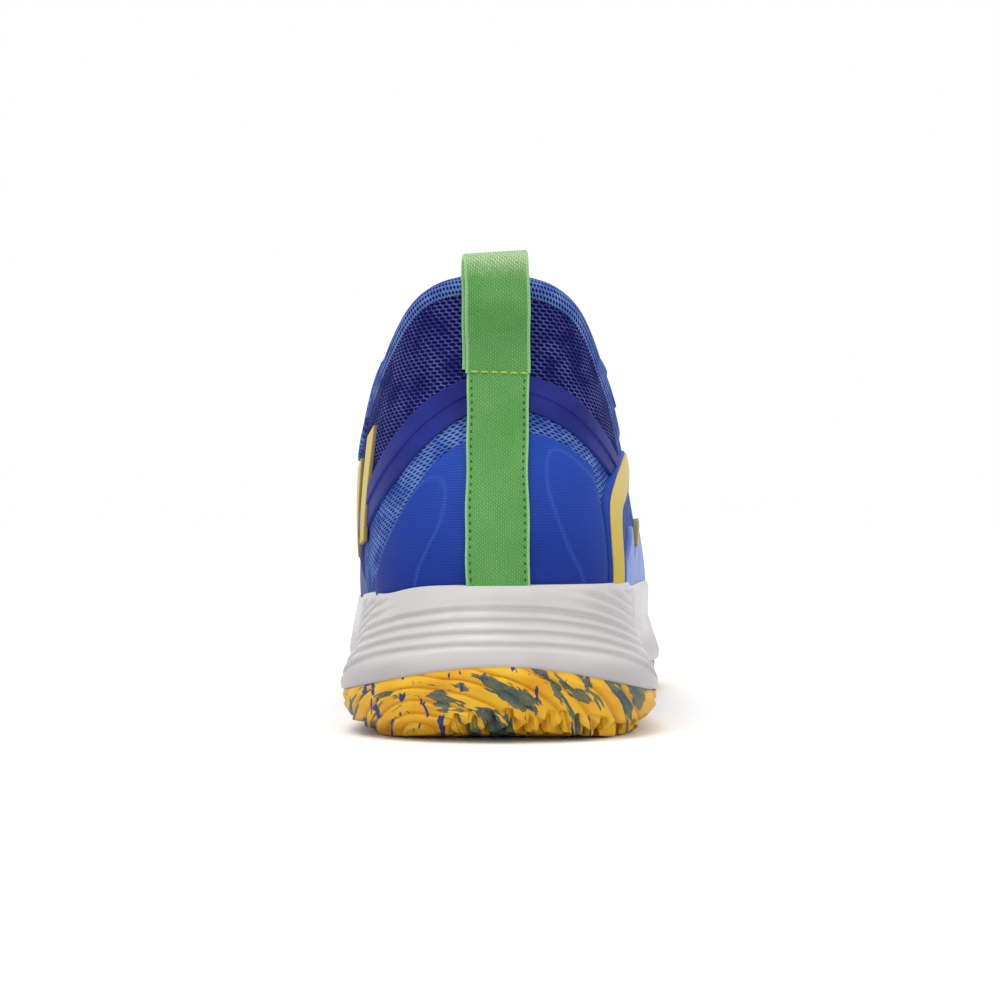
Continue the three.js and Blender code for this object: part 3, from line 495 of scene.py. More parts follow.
class Graph:
    """The nodes of one material."""

    def __init__(self, name):
        self.material = bpy.data.materials.new(name)
        self.material.use_nodes = True
        self.tree = self.material.node_tree
        self.shader = self.tree.nodes["Principled BSDF"]

    def node(self, kind, inputs=None, **settings):
        made = self.tree.nodes.new(kind)
        for key, value in settings.items():
            setattr(made, key, value)
        for key, value in (inputs or {}).items():
            self.feed(made.inputs[key], value)
        return made

    def feed(self, socket, value):
        if isinstance(value, Value):
            self.tree.links.new(value.socket, socket)
        else:
            socket.default_value = value

    def math(self, operation, *values):
        made = self.node("ShaderNodeMath", dict(enumerate(values)), operation=operation)
        return Value(self, made.outputs[0])

    def sin(self, value):
        return self.math("SINE", value)

    def absolute(self, value):
        return self.math("ABSOLUTE", value)

    def fraction(self, value):
        return self.math("FRACT", value)

    def floor(self, value):
        return self.math("FLOOR", value)

    def clamp(self, value):
        made = self.node("ShaderNodeClamp", {"Value": value})
        return Value(self, made.outputs[0])

    def ramp(self, value, low, high):
        """0 below low, 1 above high, smooth between."""
        inputs = {"Value": value, "From Min": low, "From Max": high}
        made = self.node("ShaderNodeMapRange", inputs, interpolation_type="SMOOTHSTEP")
        return Value(self, made.outputs["Result"])

    def mix(self, factor, a, b):
        made = self.node("ShaderNodeMix", {"Factor": factor, 6: a, 7: b}, data_type="RGBA")
        return Value(self, made.outputs[2])

    def coordinate(self, kind):
        return Value(self, self.node("ShaderNodeTexCoord").outputs[kind])

    def uv(self):
        """The two millimetre coordinates of the surface."""
        split = self.node("ShaderNodeSeparateXYZ", {0: self.coordinate("UV")})
        return Value(self, split.outputs[0]), Value(self, split.outputs[1])

    def spot(self):
        """Place on the object in millimetres."""
        inputs = {0: self.coordinate("Object"), 1: (1000, 1000, 1000)}
        scaled = self.node("ShaderNodeVectorMath", inputs, operation="MULTIPLY")
        return Value(self, scaled.outputs[0])

    def height(self):
        """Height above the ground in millimetres."""
        split = self.node("ShaderNodeSeparateXYZ", {0: self.spot()})
        return Value(self, split.outputs[2])

    def combine(self, x, y, z=0.0):
        made = self.node("ShaderNodeCombineXYZ", {"X": x, "Y": y, "Z": z})
        return Value(self, made.outputs[0])

    def noise(self, scale, detail=3, vector=None, roughness=0.5, distortion=0):
        inputs = {
            "Vector": self.spot() if vector is None else vector,
            "Scale": scale, "Detail": detail, "Roughness": roughness, "Distortion": distortion,
        }
        return Value(self, self.node("ShaderNodeTexNoise", inputs).outputs[0])

    def mottle(self, scale, detail=3, low=0.3, high=0.7):
        """Soft patches from 0 to 1."""
        return self.ramp(self.noise(scale, detail), low, high)

    def mark(self, label):
        """A value stored on the mesh's points."""
        made = self.node("ShaderNodeAttribute", attribute_name=label)
        return Value(self, made.outputs["Fac"])

    def near_border(self, low, high):
        """1 on the border of a film, 0 beyond high mm from it."""
        return 1 - self.ramp(self.mark("border"), low, high)

    def bump(self, height, depth):
        """Relief of the given depth in millimetres where height goes from 0 to 1."""
        inputs = {"Strength": 1, "Distance": depth / 1000, "Height": height}
        made = self.node("ShaderNodeBump", inputs)
        self.tree.links.new(made.outputs[0], self.shader.inputs["Normal"])

    def paint(self, colour, roughness, **sockets):
        self.feed(self.shader.inputs["Base Color"], colour)
        self.feed(self.shader.inputs["Roughness"], roughness)
        for key, value in sockets.items():
            self.shader.inputs[key.replace("_", " ")].default_value = value
        return self.material


def net(g, pitch_x, pitch_y, tilt=0.0, lean=0.0):
    """Staggered openings of an air mesh: 0 in the middle of an opening, 1 between them.

    Rows climb by tilt towards the heel; openings lean sideways by lean.
    """
    x, y = g.uv()
    y = y + g.absolute(x) * tilt
    row = y / pitch_y
    fy = g.fraction(row) - 0.5
    fx = g.fraction(x / pitch_x + g.floor(row) * 0.5 + fy * lean) - 0.5
    return g.math("SQRT", fx * fx * 4 + fy * fy * 4)


def mesh_material(name, cell, opening, yarn_dark, yarn_light, ground, depth):
    """Air mesh: yarn in two tones round openings that show the ground colour."""
    g = Graph(name)
    inside = 1 - g.ramp(net(g, *cell) + g.noise(1.6, 2) * 0.16 - 0.08, *opening)
    tone = g.ramp(g.noise(0.16, 3) + g.noise(1.1, 2) * 0.3 - 0.15, 0.3, 0.7)
    g.bump((1 - inside) + g.noise(4, 2) * 0.25, depth)
    colour = g.mix(inside, g.mix(tone, yarn_dark, yarn_light), ground)
    return g.paint(colour, 0.85, Specular_IOR_Level=0.05)


def royal_film_material():
    g = Graph("royal_film")
    _, y = g.uv()
    rib = g.sin(y * (2 * math.pi / 0.65) + g.noise(0.25, 2) * 9)
    tone = g.ramp(g.height() + g.noise(0.06, 3) * 24, 40, 84)
    edge = g.near_border(0.05, 0.45)
    body = g.mix(tone, rgb(18, 46, 142), rgb(34, 76, 182))
    # painted highlight along the embossed leaf outlines
    lit = g.mix(g.clamp(g.mark("leaf")) * 0.3, body, rgb(80, 120, 210))
    fine = g.mix(g.ramp(rib, -1, 1) * 0.25, lit, rgb(16, 38, 128))
    g.bump(rib * 0.5 + g.noise(3, 2) * 0.4, 0.07)
    return g.paint(g.mix(edge * 0.5, fine, rgb(64, 100, 190)), 0.5, Specular_IOR_Level=0.12)


def dark_film_material():
    g = Graph("dark_film")
    tone = g.mottle(0.08)
    edge = g.near_border(0.05, 0.4)
    body = g.mix(tone, rgb(24, 32, 116), rgb(36, 46, 138))
    g.bump(g.noise(3, 3), 0.04)
    return g.paint(g.mix(edge * 0.4, body, rgb(70, 84, 180)), 0.48, Specular_IOR_Level=0.12)


def pale_film_material():
    g = Graph("pale_film")
    tone = g.mottle(0.08)
    g.bump(g.noise(3, 3), 0.05)
    return g.paint(g.mix(tone, rgb(80, 112, 206), rgb(112, 148, 226)), 0.42, Specular_IOR_Level=0.3)


def yellow_film_material():
    g = Graph("yellow_film")
    tone = g.ramp(g.height() + g.noise(0.3, 3) * 8, 40, 72)
    edge = g.near_border(0.03, 0.25)
    body = g.mix(tone, rgb(206, 180, 44), rgb(226, 200, 112))
    g.bump(g.noise(3, 3), 0.04)
    return g.paint(g.mix(edge * 0.75, body, rgb(112, 100, 74)), 0.5, Specular_IOR_Level=0.25)


def foam_material():
    g = Graph("midsole_foam")
    tone = g.mottle(0.05, 3, 0.3, 0.75)
    body = g.mix(tone, rgb(214, 210, 210), rgb(226, 222, 222))
    dust = g.mottle(1.2, 4, 0.6, 0.8)
    # painted shade: the foam darkens towards its lower edge, where the wall tucks in under
    painted_low_shade = 1 - g.ramp(g.height(), 15, 20.5)
    g.bump(g.noise(2.4, 4), 0.06)
    lit = g.mix(painted_low_shade * 0.9, body, rgb(188, 183, 184))
    return g.paint(g.mix(dust * 0.3, lit, rgb(190, 186, 188)), 0.38, Specular_IOR_Level=0.5)


def rubber_material():
    """Gum rubber with streaks of grey and navy rubber moulded in along the tread."""
    g = Graph("gum_rubber")
    ring_mm, sweep = g.mark("ring"), g.mark("sweep")
    grain = g.noise(1.5, 3)
    tone = g.mottle(0.1, 3, 0.25, 0.75)
    gum = g.mix(tone, rgb(244, 174, 10), rgb(252, 202, 42))
    # painted shadow: the gum is darker in a band just beyond each blade's step, in the shade of the
    # ledge
    groove = 1 - g.ramp(g.fraction(ring_mm / TREAD_PITCH), 0.0, 0.34)
    gum = g.mix(groove * 0.65, gum, rgb(206, 136, 14))
    streaks = g.noise(1.0, 3, g.combine(ring_mm * 0.34, sweep * 0.1, 3.3), 0.6, 0.5)
    more = g.ramp(sweep, -6, 16) * 0.07
    threads = g.noise(1.0, 2, g.combine(ring_mm * 1.6, sweep * 0.3, 5.7))
    grey_at = g.ramp(streaks + threads * 0.22 + more, 0.72, 0.75)
    grey = g.mix(g.ramp(threads + grain * 0.4, 0.5, 0.9), rgb(58, 80, 96), rgb(116, 122, 84))
    strokes = g.noise(1.0, 2, g.combine(sweep * 0.42, ring_mm * 0.2, 8.1), 0.5, 0.4)
    less = g.ramp(sweep, -2, 14) * 0.08
    navy_at = g.ramp(strokes + grain * 0.08 - less, 0.62, 0.64)
    g.bump(g.noise(3, 3), 0.05)
    colour = g.mix(navy_at, g.mix(grey_at, gum, grey), rgb(52, 56, 122))
    return g.paint(colour, 0.5, Specular_IOR_Level=0.3)


def webbing_material():
    """Warp-faced webbing: short upright floats, each column a little higher than the last."""
    g = Graph("green_webbing")
    x, y = g.uv()
    column = x / 0.4
    across = g.fraction(column) - 0.5
    along_it = g.fraction(y / 0.9 + g.floor(column) * 0.38 + g.noise(1.4, 2) * 1.1) - 0.5
    float_at = g.math("SQRT", across * across * 4 + along_it * along_it * 4)
    gap = g.ramp(float_at, 0.5, 1.0)
    tone = g.mottle(0.09, 3, 0.25, 0.75)
    body = g.mix(tone, rgb(106, 178, 92), rgb(128, 194, 112))
    # painted highlight: the webbing pales towards the top of the loop, where its fold faces up into the
    # light
    painted_top_glare = g.ramp(g.height() + g.noise(0.6, 3) * 3, 108.5, 115.0)
    selvedge = g.ramp(g.absolute(x), 6.7, 7.0)
    woven = g.mix(gap * 0.6, g.mix(painted_top_glare, body, rgb(216, 244, 190)), rgb(60, 128, 56))
    g.bump((1 - gap) + g.noise(5, 2) * 0.4, 0.12)
    light = g.mix(selvedge * 0.7, woven, rgb(170, 228, 158))
    return g.paint(light, 0.75, Specular_IOR_Level=0.15, Sheen_Weight=0.08)


def thread_material(name, colour):
    g = Graph(name)
    x, y = g.uv()
    twist = g.sin((x + y) * 9)
    dark = tuple(0.75 * c for c in colour[:3]) + (1,)
    g.bump(twist, 0.05)
    return g.paint(g.mix(g.ramp(twist, -1, 1), dark, colour), 0.6, Specular_IOR_Level=0.2)


def lining_material():
    g = Graph("lining_fabric")
    fuzz = g.noise(2.6, 4)
    tone = g.mottle(0.1)
    body = g.mix(tone, rgb(34, 46, 134), rgb(52, 68, 168))
    g.bump(fuzz, 0.25)
    lit = g.mix(g.ramp(fuzz, 0.35, 0.7) * 0.5, body, rgb(72, 92, 188))
    return g.paint(lit, 0.9, Specular_IOR_Level=0.15, Sheen_Weight=0.1)


def lace_material():
    g = Graph("lace_braid")
    x, y = g.uv()
    braid = g.sin((x + y) * (2 * math.pi / 1.5)) * g.sin((x - y) * (2 * math.pi / 1.5))
    g.bump(braid, 0.2)
    lit = g.mix(g.ramp(braid, -0.6, 0.6), rgb(34, 60, 170), rgb(84, 120, 226))
    return g.paint(lit, 0.7, Specular_IOR_Level=0.2)


def plain_material(name, dark, light, roughness, grain=0.08):
    """A moulded or pressed material with a soft mottle."""
    g = Graph(name)
    tone = g.mottle(0.12, 4)
    g.bump(g.noise(2.5, 3), grain)
    return g.paint(g.mix(tone, dark, light), roughness)


MATERIALS = {
    "light_mesh": mesh_material(
        "light_mesh", (1.9, 0.72, 0.3), (0.3, 0.85),
        rgb(58, 88, 176), rgb(112, 144, 216), rgb(20, 36, 100), 0.3,
    ),
    "navy_mesh": mesh_material(
        "navy_mesh", (1.9, 0.92, 0.1, 0.2), (0.68, 1.06),
        rgb(46, 50, 138), rgb(100, 104, 190), rgb(12, 14, 72), 0.3,
    ),
    "rim": mesh_material(
        "collar_rim_mesh", (0.9, 1.25, 0.0, 0.3), (0.4, 0.85),
        rgb(76, 104, 188), rgb(118, 146, 216), rgb(14, 28, 92), 0.3,
    ),
    "royal_film": royal_film_material(),
    "dark_film": dark_film_material(),
    "pale_film": pale_film_material(),
    "yellow_film": yellow_film_material(),
    "white_foam": foam_material(),
    "gum_rubber": rubber_material(),
    "green_webbing": webbing_material(),
    "bright_thread": thread_material("bright_thread", rgb(186, 226, 100)),
    "green_thread": thread_material("green_thread", rgb(44, 104, 40)),
    "lining_fabric": lining_material(),
    "lace_fabric": lace_material(),
    "blue_plastic": plain_material("blue_plastic", rgb(28, 40, 130), rgb(40, 56, 160), 0.35),
    "green_gel": plain_material("green_gel", rgb(70, 150, 74), rgb(96, 178, 96), 0.5),
    "grey_board": plain_material("grey_board", rgb(92, 102, 168), rgb(118, 130, 196), 0.9, 0.2),
    "grey_foam": plain_material("grey_foam", rgb(130, 134, 146), rgb(158, 162, 172), 0.95, 0.3),
}


def dress(piece, material, body="shoe", replaces=()):
    """Gives a piece its material and body, and hides the CAD nodes it stands for."""
    piece.data.materials.append(MATERIALS[material])
    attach(piece, body)
    if replaces:
        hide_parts(*replaces)
    return piece


# ---------------------------------------------------------------- camera, light and floor
LENS = 86.2
BEHIND_HEEL = 550
CAMERA_HEIGHT = 50
CAMERA_TILT = 0.645  # degrees above level


def add_camera():
    """Straight behind the heel, at about half the height of the shoe."""
    data = bpy.data.cameras.new("camera")
    data.lens = LENS
    data.sensor_width = 36
    data.clip_start = 0.01
    camera = link("camera", data)
    camera.location = (-0.0010, -(MIDDLE_S + BEHIND_HEEL) / 1000, CAMERA_HEIGHT / 1000)
    camera.rotation_euler = (math.radians(90 + CAMERA_TILT), 0, 0)
    bpy.context.scene.camera = camera


def add_sun(name, toward, power, softness):
    """A distant soft light shining along the given direction."""
    data = bpy.data.lights.new(name, "SUN")
    data.energy = power
    data.angle = math.radians(softness)
    lamp = link(name, data)
    lamp.rotation_mode = "QUATERNION"
    lamp.rotation_quaternion = Vector(toward).to_track_quat("-Z", "Y")


def add_lights():
    """Two soft suns in a white surrounding."""
    add_sun("key", (0.25, 0.45, -1.0), 1.5, 35)
    add_sun("fill", (-0.6, 0.5, -0.5), 0.4, 60)
    world = bpy.data.worlds.new("studio")
    world.use_nodes = True
    world.node_tree.nodes["Background"].inputs[0].default_value = (1, 1, 1, 1)
    world.node_tree.nodes["Background"].inputs[1].default_value = 1.0
    bpy.context.scene.world = world
    bpy.context.scene.view_settings.view_transform = "Standard"


FLOOR_REACH = 40  # metres, so that no horizon shows


def add_floor():
    mesh = bpy.data.meshes.new("floor")
    r = FLOOR_REACH
    mesh.from_pydata([(-r, -r, 0), (r, -r, 0), (r, r, 0), (-r, r, 0)], [], [(0, 1, 2, 3)])
    floor = link("floor", mesh)
    floor.location.z = -0.0002
    g = Graph("floor")
    pale, paler = (0.9, 0.9, 0.9, 1), (0.91, 0.91, 0.91, 1)
    mesh.materials.append(g.paint(g.mix(g.noise(0.004, 1), pale, paler), 0.8))


# ---------------------------------------------------------------- the sole
# s where the two rubber pieces end, either side of the arch.
HEEL_PIECE_TO = 98
FOREFOOT_PIECE_FROM = 162
HEEL_REACH = 120  # how far the heel piece is followed round the sole, each way
BOND_INSET = 12  # where foam and rubber stop sloping and lie flat


def spine(u):
    """x and s of the sole's middle line beside u."""
    a, b = sole_at(u), sole_at(1 - u)
    return (a[..., 0] + b[..., 0]) / 2, 28 + (a[..., 1] + b[..., 1]) / 2 * 0.805


def inside_ring(curve, u, inset, z):
    """A point inside a ring by inset, at height z."""
    at = curve(u)[..., :2] - outward(curve, u) * np.asarray(inset, float)[..., None]
    return place(at[..., 0], at[..., 1], z)


def sole_rim(u, inset, z):
    """A point inside the sole's widest outline by inset."""
    return inside_ring(sole_at, u, inset, z)


def along(points):
    """s of points in the frame."""
    return points[..., 1] + MIDDLE_S


def toe_spring(s):
    """How far the sole lifts towards the toe."""
    return 0.0015 * np.maximum(s - 205, 0) ** 2


def ground_at(s):
    """Height of the tread: it lifts at the toe and behind the heel."""
    return toe_spring(s) + 0.008 * np.maximum(26 - s, 0) ** 2


def underside_at(s):
    """Height of the midsole's underside, raised at the arch."""
    arch = ARCH_RISE * smooth(92, 110, s) * (1 - smooth(148, 168, s))
    bevel = 0.0048 * np.maximum(26 - s, 0) ** 2
    return OUTSOLE + toe_spring(s) + bevel + arch


def at_the_back(arc):
    """1 at the very back of the sole, 0 from the sides of the heel on."""
    return 1 - smooth(18, 44, np.abs(arc))


def seam_height(q, arc):
    """Where foam meets rubber: a little higher at the very back of the heel."""
    return q[:, 2] + 1.0 * np.exp(-((arc / 22) ** 2))


def path_through(points, fractions):
    """Points at even fractions of the length of many polylines: points[i, k] over k."""
    run = lengths(points, 1)
    run = run / run[:, -1:]
    out = np.empty((points.shape[0], len(fractions), 3))
    for i in range(points.shape[0]):
        for d in range(3):
            out[i, :, d] = np.interp(fractions, run[i], points[i, :, d])
    return out


def softened(grid, times, keep=2):
    """Rounds off the corners of a grid's columns, leaving its ends."""
    g = grid.copy()
    for _ in range(times):
        before, here = g[:, keep - 1 : -keep - 1], g[:, keep:-keep]
        after = g[:, keep + 1 : -keep + 1 or None]
        g[:, keep:-keep] = (before + 2 * here + after) / 4
    return g


def sole_steps(fine, coarse, fine_to):
    """u round the sole: fine steps near the heel, coarse ones further on."""
    probe = np.linspace(0, 1, 1201)
    run = lengths(sole_rim(probe, 0, 0), 0)
    total = run[-1]
    near = np.arange(0, fine_to, fine)
    far = np.linspace(fine_to, total - fine_to, int((total - 2 * fine_to) / coarse) + 1)
    marks = np.concatenate([near, far, total - near[:0:-1]])
    arc = np.where(marks > total / 2, -(total - marks), marks)
    return np.interp(marks, run, probe), arc


RIB_PITCH = 2.8
RIB_DEPTH = 0.95
RIB_START = 22.9  # height of one groove at the back of the heel
# How far the grooves drop, in mm, at distances round the sole from the heel.
RIB_ARC = [0, 10, 17, 26, 35, 42, 50, 60, 80, 120, 190]
RIB_DROP = [0, 0.2, 0.8, 1.9, 3.6, 5.2, 7.2, 10, 16, 28, 48]


def sole_ribs(z, arc, outer_side):
    """Grooves round the heel of the cup, from 0 on a rib to 1 in a groove, and where they show."""
    phase = z + np.interp(arc, RIB_ARC, RIB_DROP) * (0.85 + 0.035 * np.maximum(z - 20, 0))
    q = ((phase - RIB_START) / RIB_PITCH) % 1
    groove = np.exp(-((q / 0.2) ** 2)) + np.exp(-(((1 - q) / 0.36) ** 2))
    fan = np.where(outer_side, smooth(12, 30, arc), smooth(24, 42, arc))
    shown = smooth(20.6, 21.6, phase) * (1 - smooth(31.6, 33.6, phase) * (1 - fan))
    return np.minimum(groove, 1), shown


def add_midsole():
    """The foam cup: its wall carries arched grooves that drop away from the heel."""
    u, arc = sole_steps(0.9, 2.2, 190)
    q = sole_at(u)
    seam = seam_height(q, arc)
    top = q[:, 3] - 0.2 - 1.1 * np.exp(-(((arc + 33) / 9) ** 2))
    lip_v = level_of(u, top)
    inner = off(u, lip_v, 0.1)
    hugging = 1.25 * (1 - smooth(7.2, 10.5, np.abs(arc + 0.4)))
    lip = off(u, lip_v, 1.9 + hugging)
    low = lip.copy()
    low[:, 2] -= 1.6
    low[:, :2] += outward(sole_at, u) * 0.3
    behind = at_the_back(arc)
    widest = sole_rim(u, 0.1, seam + 2.0 + 2.2 * behind)
    waist = mix(low, widest, 0.42)
    toe = smooth(210, 300, np.abs(arc))
    waist_in = 1.0 + 0.65 * np.tanh(arc / 15) * (1 - toe) - 3.2 * toe
    waist[:, :2] -= outward(sole_at, u) * waist_in[:, None]
    rim = sole_rim(u, 0.4 + 0.9 * behind, seam)
    wall = path_through(np.stack([rim, widest, waist, low, lip], 1), np.linspace(0, 1, 96))
    wall = softened(wall, 8)
    z = wall[..., 2]
    groove, smooth_band = sole_ribs(z, np.abs(arc)[:, None], arc[:, None] > 0)
    edge = smooth(0.3, 2.5, z - seam[:, None]) * smooth(0.8, 2.6, top[:, None] - z)
    fade = 1 - smooth(120, 185, np.abs(arc))[:, None]
    depth = RIB_DEPTH * groove * smooth_band * edge * fade
    corner = np.where(arc > 0, 46, 38)[:, None]
    fold = np.abs(arc)[:, None] - (corner + (top[:, None] - z) * 0.75)
    step = 1.1 * smooth(-0.5, 0.5, fold) * (1 - smooth(14, 60, fold))
    step = step * smooth(4, 12, z - seam[:, None])
    out = np.concatenate([outward(sole_at, u), np.zeros((len(u), 1))], 1)[:, None, :]
    wall = wall - out * (depth + step)[..., None]
    cup = off(u[:, None], lip_v[:, None] * np.linspace(1, 0, 14), 0.1)
    x, s = spine(u)
    floor_z = (station_at(u)[:, 2] + station_at(1 - u)[:, 2]) / 2 - GAP
    bed = mix(cup[:, -1:], place(x, s, floor_z)[:, None], np.linspace(0, 1, 12)[None, 1:, None])
    cup[:, -1, 2] = floor_z
    bond = sole_rim(u, BOND_INSET, 0)
    bond[:, 2] = underside_at(along(bond))
    base = mix(rim[:, None], bond[:, None], np.linspace(0, 1, 5)[None, :-1, None])
    deep = mix(bond[:, None], place(x, s, underside_at(s))[:, None], np.linspace(0, 1, 9)[None, :, None])
    section = np.concatenate([deep[:, ::-1], base[:, :0:-1], wall, inner[:, None], cup[:, 1:], bed], 1)
    return dress(closed_ring("midsole_cup", section), "white_foam", replaces=["midsole"])


def closed_ring(name, section):
    """A solid from sections all the way round that end on a spine."""
    points = section.reshape(-1, 3)
    faces = quads_of(*section.shape[:2], True).tolist()
    piece = make_object(name, points, facing_out(points, faces))
    weld(piece)
    return piece


def weld(piece, distance=1e-6):
    """Joins the points that lie on each other, such as both sides of a spine."""
    b = bmesh.new()
    b.from_mesh(piece.data)
    bmesh.ops.remove_doubles(b, verts=b.verts, dist=distance)
    bmesh.ops.recalc_face_normals(b, faces=b.faces)
    b.to_mesh(piece.data)
    b.free()


TREAD_CENTRE = -19.5  # x of the middle of the heel tread's swirl
WAVE_LENGTH = 9.0  # of the herringbone, along the sole
HEEL_LUG_DEPTH = 2.0
FOREFOOT_LUG_DEPTH = 1.6
FLEX_GROOVES = (178, 196, 214, 232)  # s of the grooves across the forefoot
FLEX_GROOVE_WIDTH = 1.4


def tread_rings(x, z):
    """The swirl's ring coordinate and the way round it, at x and height z."""
    dx = x - TREAD_CENTRE
    h = np.maximum(z - 0.4, 0)
    wide = mix(1.12, 2.0, smooth(-4, 12, dx))
    r = np.sqrt((dx / wide) ** 2 + h**2)
    return r, dx


def tread_height(r, x):
    """Overlapping blades: each rises towards its outer ring and drops sharply there."""
    q = (r / TREAD_PITCH) % 1
    return mix(1.15, 1.7, smooth(-12, 8, x)) * q * (1 - smooth(0.84, 1.0, q))


def zigzag(x, s, pitch, wave, width):
    """1 in the grooves of a herringbone, 0 on its lugs."""
    shift = wave * (np.abs(((s / WAVE_LENGTH) % 1) - 0.5) * 4 - 1)
    q = ((x + shift) / pitch) % 1
    return 1 - smooth(width, width + 0.1, np.abs(q - 0.5) * 2)


def outsole_section(u, arc, count_side, count_bottom):
    """Top, side wall and bottom of the rubber, as three grids that end on the spine."""
    seam = seam_height(sole_at(u), arc)
    bond = sole_rim(u, BOND_INSET, 0)
    bond[:, 2] = underside_at(along(bond)) - GAP
    behind = at_the_back(arc)
    rim = sole_rim(u, 0.9 + 0.9 * behind, seam - 0.5)
    low = sole_rim(u, 0.3 + 0.5 * behind, seam - 2.6)
    heel = 1 - smooth(70, 115, np.abs(arc))
    outer_side = smooth(-10, 10, arc)
    shoulder = sole_rim(u, 3.6 - heel * mix(1.2, 0.6, outer_side), 0)
    shoulder[:, 2] = np.maximum(seam * 0.3, ground_at(along(shoulder)) + 1.2)
    tread = sole_rim(u, 12 - heel * mix(3.5, 5.5, outer_side), 0)
    tread[:, 2] = ground_at(along(tread))
    x, s = spine(u)
    side = path_through(np.stack([rim, low, shoulder, tread], 1), np.linspace(0, 1, count_side))
    side = softened(side, 10)
    middle = place(x, s, ground_at(s))
    inward = np.linspace(0, 1, count_bottom)[None, 1:, None]
    bottom = mix(tread[:, None], middle[:, None], inward)
    bottom[..., 2] = ground_at(along(bottom))
    top = np.stack([place(x, s, underside_at(s) - GAP), bond], 1)
    return top, side, bottom


def add_heel_outsole():
    """The heel rubber: blades in a swirl at the back and herringbone lugs below."""
    u, arc = sole_steps(0.5, 6, HEEL_REACH)
    keep = np.abs(arc) < HEEL_REACH
    order = np.argsort(arc[keep])
    u, arc = u[keep][order], arc[keep][order]
    side_count = 80
    top, side, bottom = outsole_section(u, arc, side_count, 56)
    skin = np.concatenate([side, bottom], 1)
    run = lengths(skin, 1)
    w = run[:, side_count - 1 : side_count] - run
    px, ps = skin[..., 0] + MIDDLE_X, along(skin)
    normal = unit(np.cross(np.gradient(skin, axis=0), np.gradient(skin, axis=1)))
    normal *= np.sign(np.mean(normal[:, :20, :2] * outward(sole_at, u)[:, None, :]))
    r, sweep = tread_rings(px, skin[..., 2])
    rear = (1 - smooth(30, 70, ps)) * smooth(-1.0, 1.5, w)
    relief = (tread_height(r, px) - 1.0) * rear * smooth(0.4, 2.4, run)
    moved = skin + normal * relief[..., None]
    lugs = zigzag(px, ps, 4.3, 1.5, 0.4)
    where = np.maximum(smooth(-15, -9, px), smooth(34, 44, ps))
    near_ground = smooth(4.6, 1.4, skin[..., 2] - ground_at(ps)) * smooth(9.0, 6.0, w)
    moved[..., 2] += HEEL_LUG_DEPTH * lugs * where * near_ground
    moved[..., 2] = np.maximum(moved[..., 2], 0)
    section = np.concatenate([top, moved], 1)
    section[..., 1] = np.minimum(section[..., 1], HEEL_PIECE_TO - MIDDLE_S)
    marks = {"ring": np.pad(r, ((0, 0), (2, 0))), "sweep": np.pad(sweep, ((0, 0), (2, 0)))}
    piece = closed_strip("outsole_heel_tread", section, marks)
    return dress(piece, "gum_rubber", replaces=["outsole_heel"])


def closed_strip(name, section, marks):
    """A solid from sections that all end on a spine, closed across its two ends."""
    rows, columns = section.shape[:2]
    points = section.reshape(-1, 3)
    faces = quads_of(rows, columns).tolist()
    a, b = np.arange(columns), (rows - 1) * columns + np.arange(columns)
    faces += [[int(a[j]), int(a[j + 1]), int(b[j + 1]), int(b[j])] for j in range(columns - 1)]
    piece = make_object(name, points, facing_out(points, faces), marks=marks)
    weld(piece)
    return piece


def add_forefoot_outsole():
    """The forefoot rubber: herringbone lugs crossed by flex grooves."""
    u, arc = sole_steps(1.1, 1.1, 300)
    s = sole_at(u)[:, 1]
    first = FOREFOOT_PIECE_FROM - 14
    keep = s > first
    u, arc = u[keep], arc[keep]
    side_count = 30
    top, side, bottom = outsole_section(u, arc, side_count, 50)
    side[..., :2] -= outward(sole_at, u)[:, None, :] * 0.9
    skin = np.concatenate([side, bottom], 1)
    w = lengths(skin, 1)
    w = w[:, side_count - 1 : side_count] - w
    px, ps = skin[..., 0] + MIDDLE_X, along(skin)
    sunk = zigzag(px, ps, 5.0, 2.0, 0.3) * smooth(1.5, -1.0, w)
    away = [(ps - s_at - 0.16 * px) / FLEX_GROOVE_WIDTH for s_at in FLEX_GROOVES]
    flex = sum(np.exp(-(a**2)) for a in away)
    sunk = np.clip(np.maximum(sunk, flex * smooth(6, 0, w)), 0, 1)
    skin[..., 2] += FOREFOOT_LUG_DEPTH * sunk * smooth(4.0, 1.5, skin[..., 2] - ground_at(ps))
    section = np.concatenate([top, skin], 1)
    section[..., 1] = np.maximum(section[..., 1], FOREFOOT_PIECE_FROM - MIDDLE_S)
    wide = np.concatenate([top[..., 0], px], 1)
    far = np.concatenate([along(top), ps], 1)
    marks = {"ring": far * 0.35, "sweep": wide * 0.5 + far * 0.1}
    piece = closed_strip("outsole_forefoot_tread", section, marks)
    return dress(piece, "gum_rubber", replaces=["outsole_forefoot"])


# ---------------------------------------------------------------- the upper
# Where the rolled collar edge meets the rear panel, slightly above or below v = 1.
seam_line = outline(
    [
        (-0.27, 0.99), (-0.16, 0.985), (-0.118, 0.996), (-0.102, 1.01), (-0.088, 1.024),
        (-0.074, 1.028), (-0.06, 1.022), (-0.03, 1.004), (0.01, 0.996), (0.04, 1.002),
        (0.06, 1.01), (0.078, 1.018), (0.092, 1.008), (0.102, 0.984), (0.112, 0.955),
        (0.125, 0.94), (0.15, 0.95), (0.2, 0.985), (0.27, 0.99),
    ],
    0.005,
)


def crest(u):
    """Height of the rolled edge above the collar line in millimetres."""
    shoulders = np.exp(-(((np.abs(u) - 0.09) / 0.042) ** 2))
    return 4.0 + 3.0 * shoulders - 0.4 * smooth(0.13, 0.2, np.abs(u))


